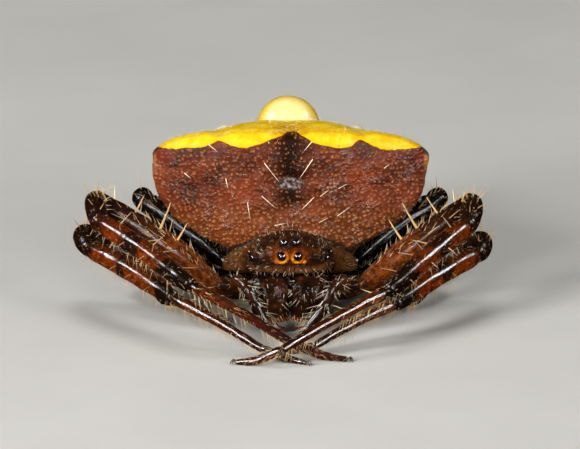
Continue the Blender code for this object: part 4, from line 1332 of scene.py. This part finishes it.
def abdomen_material():
    s = Shader("abdomen_skin", 0.42, 0.25)
    flat = s.warp(0.09, 6.0, s.node("CombineXYZ", {0: "flat_u", 1: "flat_v"}).outputs[0])
    grain = s.cells(8.0, "F1", flat, "2D", 0.9)
    chance = s.range(s.cells(8.0, "F1", flat, "2D", 0.9, "Color"), 0.3, 0.65, 0.4, 1.0)
    grain = s.times(s.range(grain, 0.06, 0.5, 1.0, 0.0), chance)
    fine = s.noise(14.0, 4, 0.6)
    ground = s.ramp(
        s.noise(1.1, 3, 0.5), (0.34, (58, 21, 6)), (0.5, (104, 40, 13)), (0.66, (130, 54, 20))
    )
    dots = s.ramp(
        s.noise(3.4, 3), (0.3, (126, 58, 26)), (0.5, (168, 90, 46)), (0.7, (206, 136, 92))
    )
    faint = s.range(s.noise(1.5, 3), 0.34, 0.56, 0.4, 0.95)
    middle = s.mix(s.range(grain, 0.35, 0.9), (16, 8, 5), (140, 80, 38))
    off_middle = s.maths("SUBTRACT", 1.0, "middle")
    grey = s.mix(s.clouds(0.42, 0.6, 8.0, 3), (58, 44, 42), (160, 140, 136))
    front = s.layers(
        ground,
        (s.times(grain, faint), 1, dots),
        ("middle", 0.95, middle),
        ("notch", 0.7, s.mix(grain, (58, 30, 24), (112, 58, 40))),
        ("low", 0.45, s.mix(grain, (122, 62, 24), (206, 138, 74))),
        # Soft pale patches off the dark band: a painted sheen
        (s.times(s.clouds(0.5, 0.72, 1.7, 4, 0.6), off_middle), 0.08, (156, 110, 92)),
        (s.range("grey", 0.2, 0.75), 1, grey),
        ("shoulder", 0.6, (120, 18, 10)),
        ("corner", 0.9, (226, 152, 60)),
    )
    behind = s.ramp(fine, (0.3, (70, 36, 24)), (0.7, (128, 76, 48)))
    behind = s.layers(behind, (grain, 0.5, (170, 112, 72)))
    edge = s.maths("ADD", "plate", s.scaled(s.noise(6.0, 3), 0.06, -0.03))
    red = s.range(s.maths("ABSOLUTE", edge), 0.02, 0.09, 1.0, 0.0)
    soft = s.noise(1.6, 3)
    yellow = s.layers(
        s.ramp(soft, (0.3, (236, 178, 14)), (0.52, (248, 204, 30)), (0.75, (254, 226, 96))),
        (s.clouds(0.5, 0.66, 4.5, 4, 0.6), 0.4, (206, 142, 12)),
        (s.specks(0.015, 0.06, 1.9, "DISTANCE_TO_EDGE", s.warp(0.35, 2.5)), 0.22, (214, 160, 40)),
        (s.specks(0.03, 0.07, 1.3), 0.8, (190, 104, 24)),
        # Deeper yellow along the plate's edge: partly the rim's own orange, and partly painted
        # shade where the rim turns down
        (s.range(edge, 0.0, 0.14, 1.0, 0.0), 0.7, (240, 184, 20)),
        ("back", 0.7, (255, 214, 8)),
        # Painted shade on the front slope of the plate's raised tier
        ("step", 0.5, (206, 146, 14)),
        (s.times("smudge", s.clouds(0.34, 0.6, 6.0, 4)), 1, (172, 98, 10)),
        # The knob's yellow and pale cream. The cream is partly painted light on its front
        ("knob", 1, s.mix("knob_pale_and_lit", (232, 190, 34), (246, 230, 150))),
        (s.range("bumps", 0.35, 0.9), 1, s.mix(fine, (178, 164, 132), (226, 220, 206))),
    )
    on_plate = s.range(edge, -0.012, 0.02)
    off = s.maths("SUBTRACT", 1.0, on_plate)
    color = s.mix("facing", behind, front)
    color = s.layers(color, (red, 0.5, (96, 28, 16)), (on_plate, 1, yellow))
    wet = s.clouds(0.52, 0.7, 2.3, 4, 0.6)
    creases = s.times(s.noise(3.0, 4, 0.7), s.scaled(off, 0.85, 0.15))
    folds = s.times(s.noise(5.0, 3, 0.6, s.warp(0.4, 2.0)), s.times(wet, off))
    normal = s.bump(s.times(grain, off), 34, 0.9)
    normal = s.bump(s.times(fine, off), 34, 0.8, normal)
    normal = s.bump(creases, 60, 0.6, normal)
    normal = s.bump(folds, 130, 0.8, normal)
    shiny = s.times(s.scaled(wet, 0.34, 0.07), s.scaled(on_plate, -0.8, 1.0))
    shiny = s.times(shiny, s.scaled("middle", -0.75, 1.0))
    s.put(s.inputs["Specular IOR Level"], s.scaled("knob", 0.2, shiny))
    gloss = s.mix(wet, s.range(fine, 0.3, 0.7, 0.3, 0.5), s.range(fine, 0.3, 0.7, 0.12, 0.26))
    gloss = s.mix(on_plate, gloss, s.range(soft, 0.3, 0.7, 0.22, 0.34))
    return s.finish(color, normal, gloss)


def plain_gloss(name, low, high, roughness):
    s = Shader(name, roughness, 0.5, 0.3, 0.1)
    color = s.ramp("reach", (0.0, low), (1.0, high))
    color = s.layers(color, (s.noise(12.0, 4), 0.4, low))
    return s.finish(color, s.bump(s.noise(30.0, 3), 4, 0.5))


def floor_material():
    s = Shader("floor_paper", 0.75, 0.02)
    color = s.ramp(s.noise(0.12, 3), (0.3, (196, 194, 189)), (0.7, (204, 202, 197)))
    return s.finish(color, s.bump(s.noise(6.0, 2), 6, 0.2))


# The stage, in metres

FLOOR_HALF = 2.0
SKY_COLOR = (1.0, 0.97, 0.93, 1.0)
SKY_STRENGTH = 0.11
LIT_PLACE = (0.0, 0.0, 0.002)
ELEVATION = math.radians(16)
CAMERA_DISTANCE = 0.5
CAMERA_NEAREST = 0.01
SENSOR_WIDTH = 36.0
# The camera's target, in the script's millimetres, and the photo's scale and width
CAMERA_TARGET = (0.0, 1.0, 2.8775)
PIXELS_PER_MM = 36.0
FRAME_WIDTH = 580


def make_stage():
    mesh = bpy.data.meshes.new("floor")
    half = FLOOR_HALF
    corners = [(-half, -half, 0), (half, -half, 0), (half, half, 0), (-half, half, 0)]
    mesh.from_pydata(corners, [], [(0, 1, 2, 3)])
    mesh.materials.append(floor_material())
    floor = add_object("floor", mesh)
    floor.visible_glossy = False
    world = bpy.data.worlds.new("studio")
    world.use_nodes = True
    sky = world.node_tree.nodes["Background"]
    sky.inputs["Color"].default_value = SKY_COLOR
    sky.inputs["Strength"].default_value = SKY_STRENGTH
    world.cycles_visibility.glossy = False
    bpy.context.scene.world = world


def add_light(name, place, size, power, glints):
    """A square light aimed at the spider, which gives either its glints or the soft light."""
    data = bpy.data.lights.new(name, "AREA")
    data.shape = "SQUARE"
    data.size = size
    data.energy = power
    obj = add_object(name, data)
    obj.location = place
    look = Vector(LIT_PLACE) - Vector(place)
    obj.rotation_euler = look.to_track_quat("-Z", "Y").to_euler()
    obj.visible_diffuse = not glints
    obj.visible_glossy = glints


# Name, place, size, power and whether it gives glints
LIGHTS = (
    ("soft_left", (-0.08, -0.095, 0.06), 0.045, 0.2, False),
    ("soft_right", (0.08, -0.095, 0.06), 0.045, 0.085, False),
    ("soft_above", (0.0, 0.03, 0.2), 0.08, 0.12, False),
    ("glint_left", (-0.08, -0.095, 0.06), 0.058, 0.66, True),
    ("glint_right", (0.08, -0.095, 0.06), 0.058, 0.58, True),
    ("glint_side_left", (-0.115, 0.012, 0.085), 0.032, 0.2, True),
    ("glint_side_right", (0.115, 0.012, 0.085), 0.032, 0.18, True),
)


def make_camera_and_lights():
    data = bpy.data.cameras.new("camera")
    data.sensor_width = SENSOR_WIDTH
    data.lens = SENSOR_WIDTH * CAMERA_DISTANCE / (FRAME_WIDTH / PIXELS_PER_MM * MM)
    data.clip_start = CAMERA_NEAREST
    camera = add_object("camera", data)
    back = Vector((0, -math.cos(ELEVATION), math.sin(ELEVATION)))
    camera.location = Vector(to_row(CAMERA_TARGET)) + back * CAMERA_DISTANCE
    camera.rotation_euler = (math.pi / 2 - ELEVATION, 0, 0)
    bpy.context.scene.camera = camera
    for name, place, size, power, glints in LIGHTS:
        add_light(name, place, size, power, glints)
    bpy.context.scene.view_settings.view_transform = "Standard"


def make_materials():
    leg_dark = (24, 11, 5)
    return {
        "leg1": leg_material("leg_cuticle_first", FIRST_STOPS, leg_dark),
        "leg2": leg_material("leg_cuticle_second", SECOND_STOPS, leg_dark),
        # The back legs and the spinnerets take the darker copy of the banding, which is painted
        # shade
        "leg_back_shaded": leg_material("leg_cuticle_back_shaded", BACK_SHADED_STOPS, (14, 9, 7), 0.4),
        "palp": leg_material("palp_cuticle", PALP_STOPS, (24, 11, 6), 1.0, 0.06),
        "prosoma": prosoma_material(),
        "chelicera": chelicera_material(),
        "abdomen": abdomen_material(),
        "hair_leg": hair_material("hair_of_legs", (34, 17, 8), (250, 208, 138)),
        "hair_pale": hair_material("hair_of_body", (50, 27, 14), (252, 230, 194)),
        "bristle": hair_material("bristles", (56, 28, 12), (246, 200, 128), 0.28),
        "eye": eye_material("eye_lens_dark"),
        "fang": plain_gloss("fang_horn", (62, 18, 8), (120, 36, 10), 0.18),
        "claw": plain_gloss("claw_horn", (30, 14, 10), (58, 24, 14), 0.25),
    }


def main():
    mats = make_materials()
    make_prosoma(mats)
    make_eyes(mats)
    make_pedicel(mats)
    make_abdomen(mats)
    make_spinnerets(mats)
    for word, sign in (("left", 1), ("right", -1)):
        make_chelicera(word, sign, mats)
        make_palp(word, sign, mats)
        for leg in JOINTS:
            make_leg(leg, word, sign, mats)
    make_stage()
    make_camera_and_lights()


main()
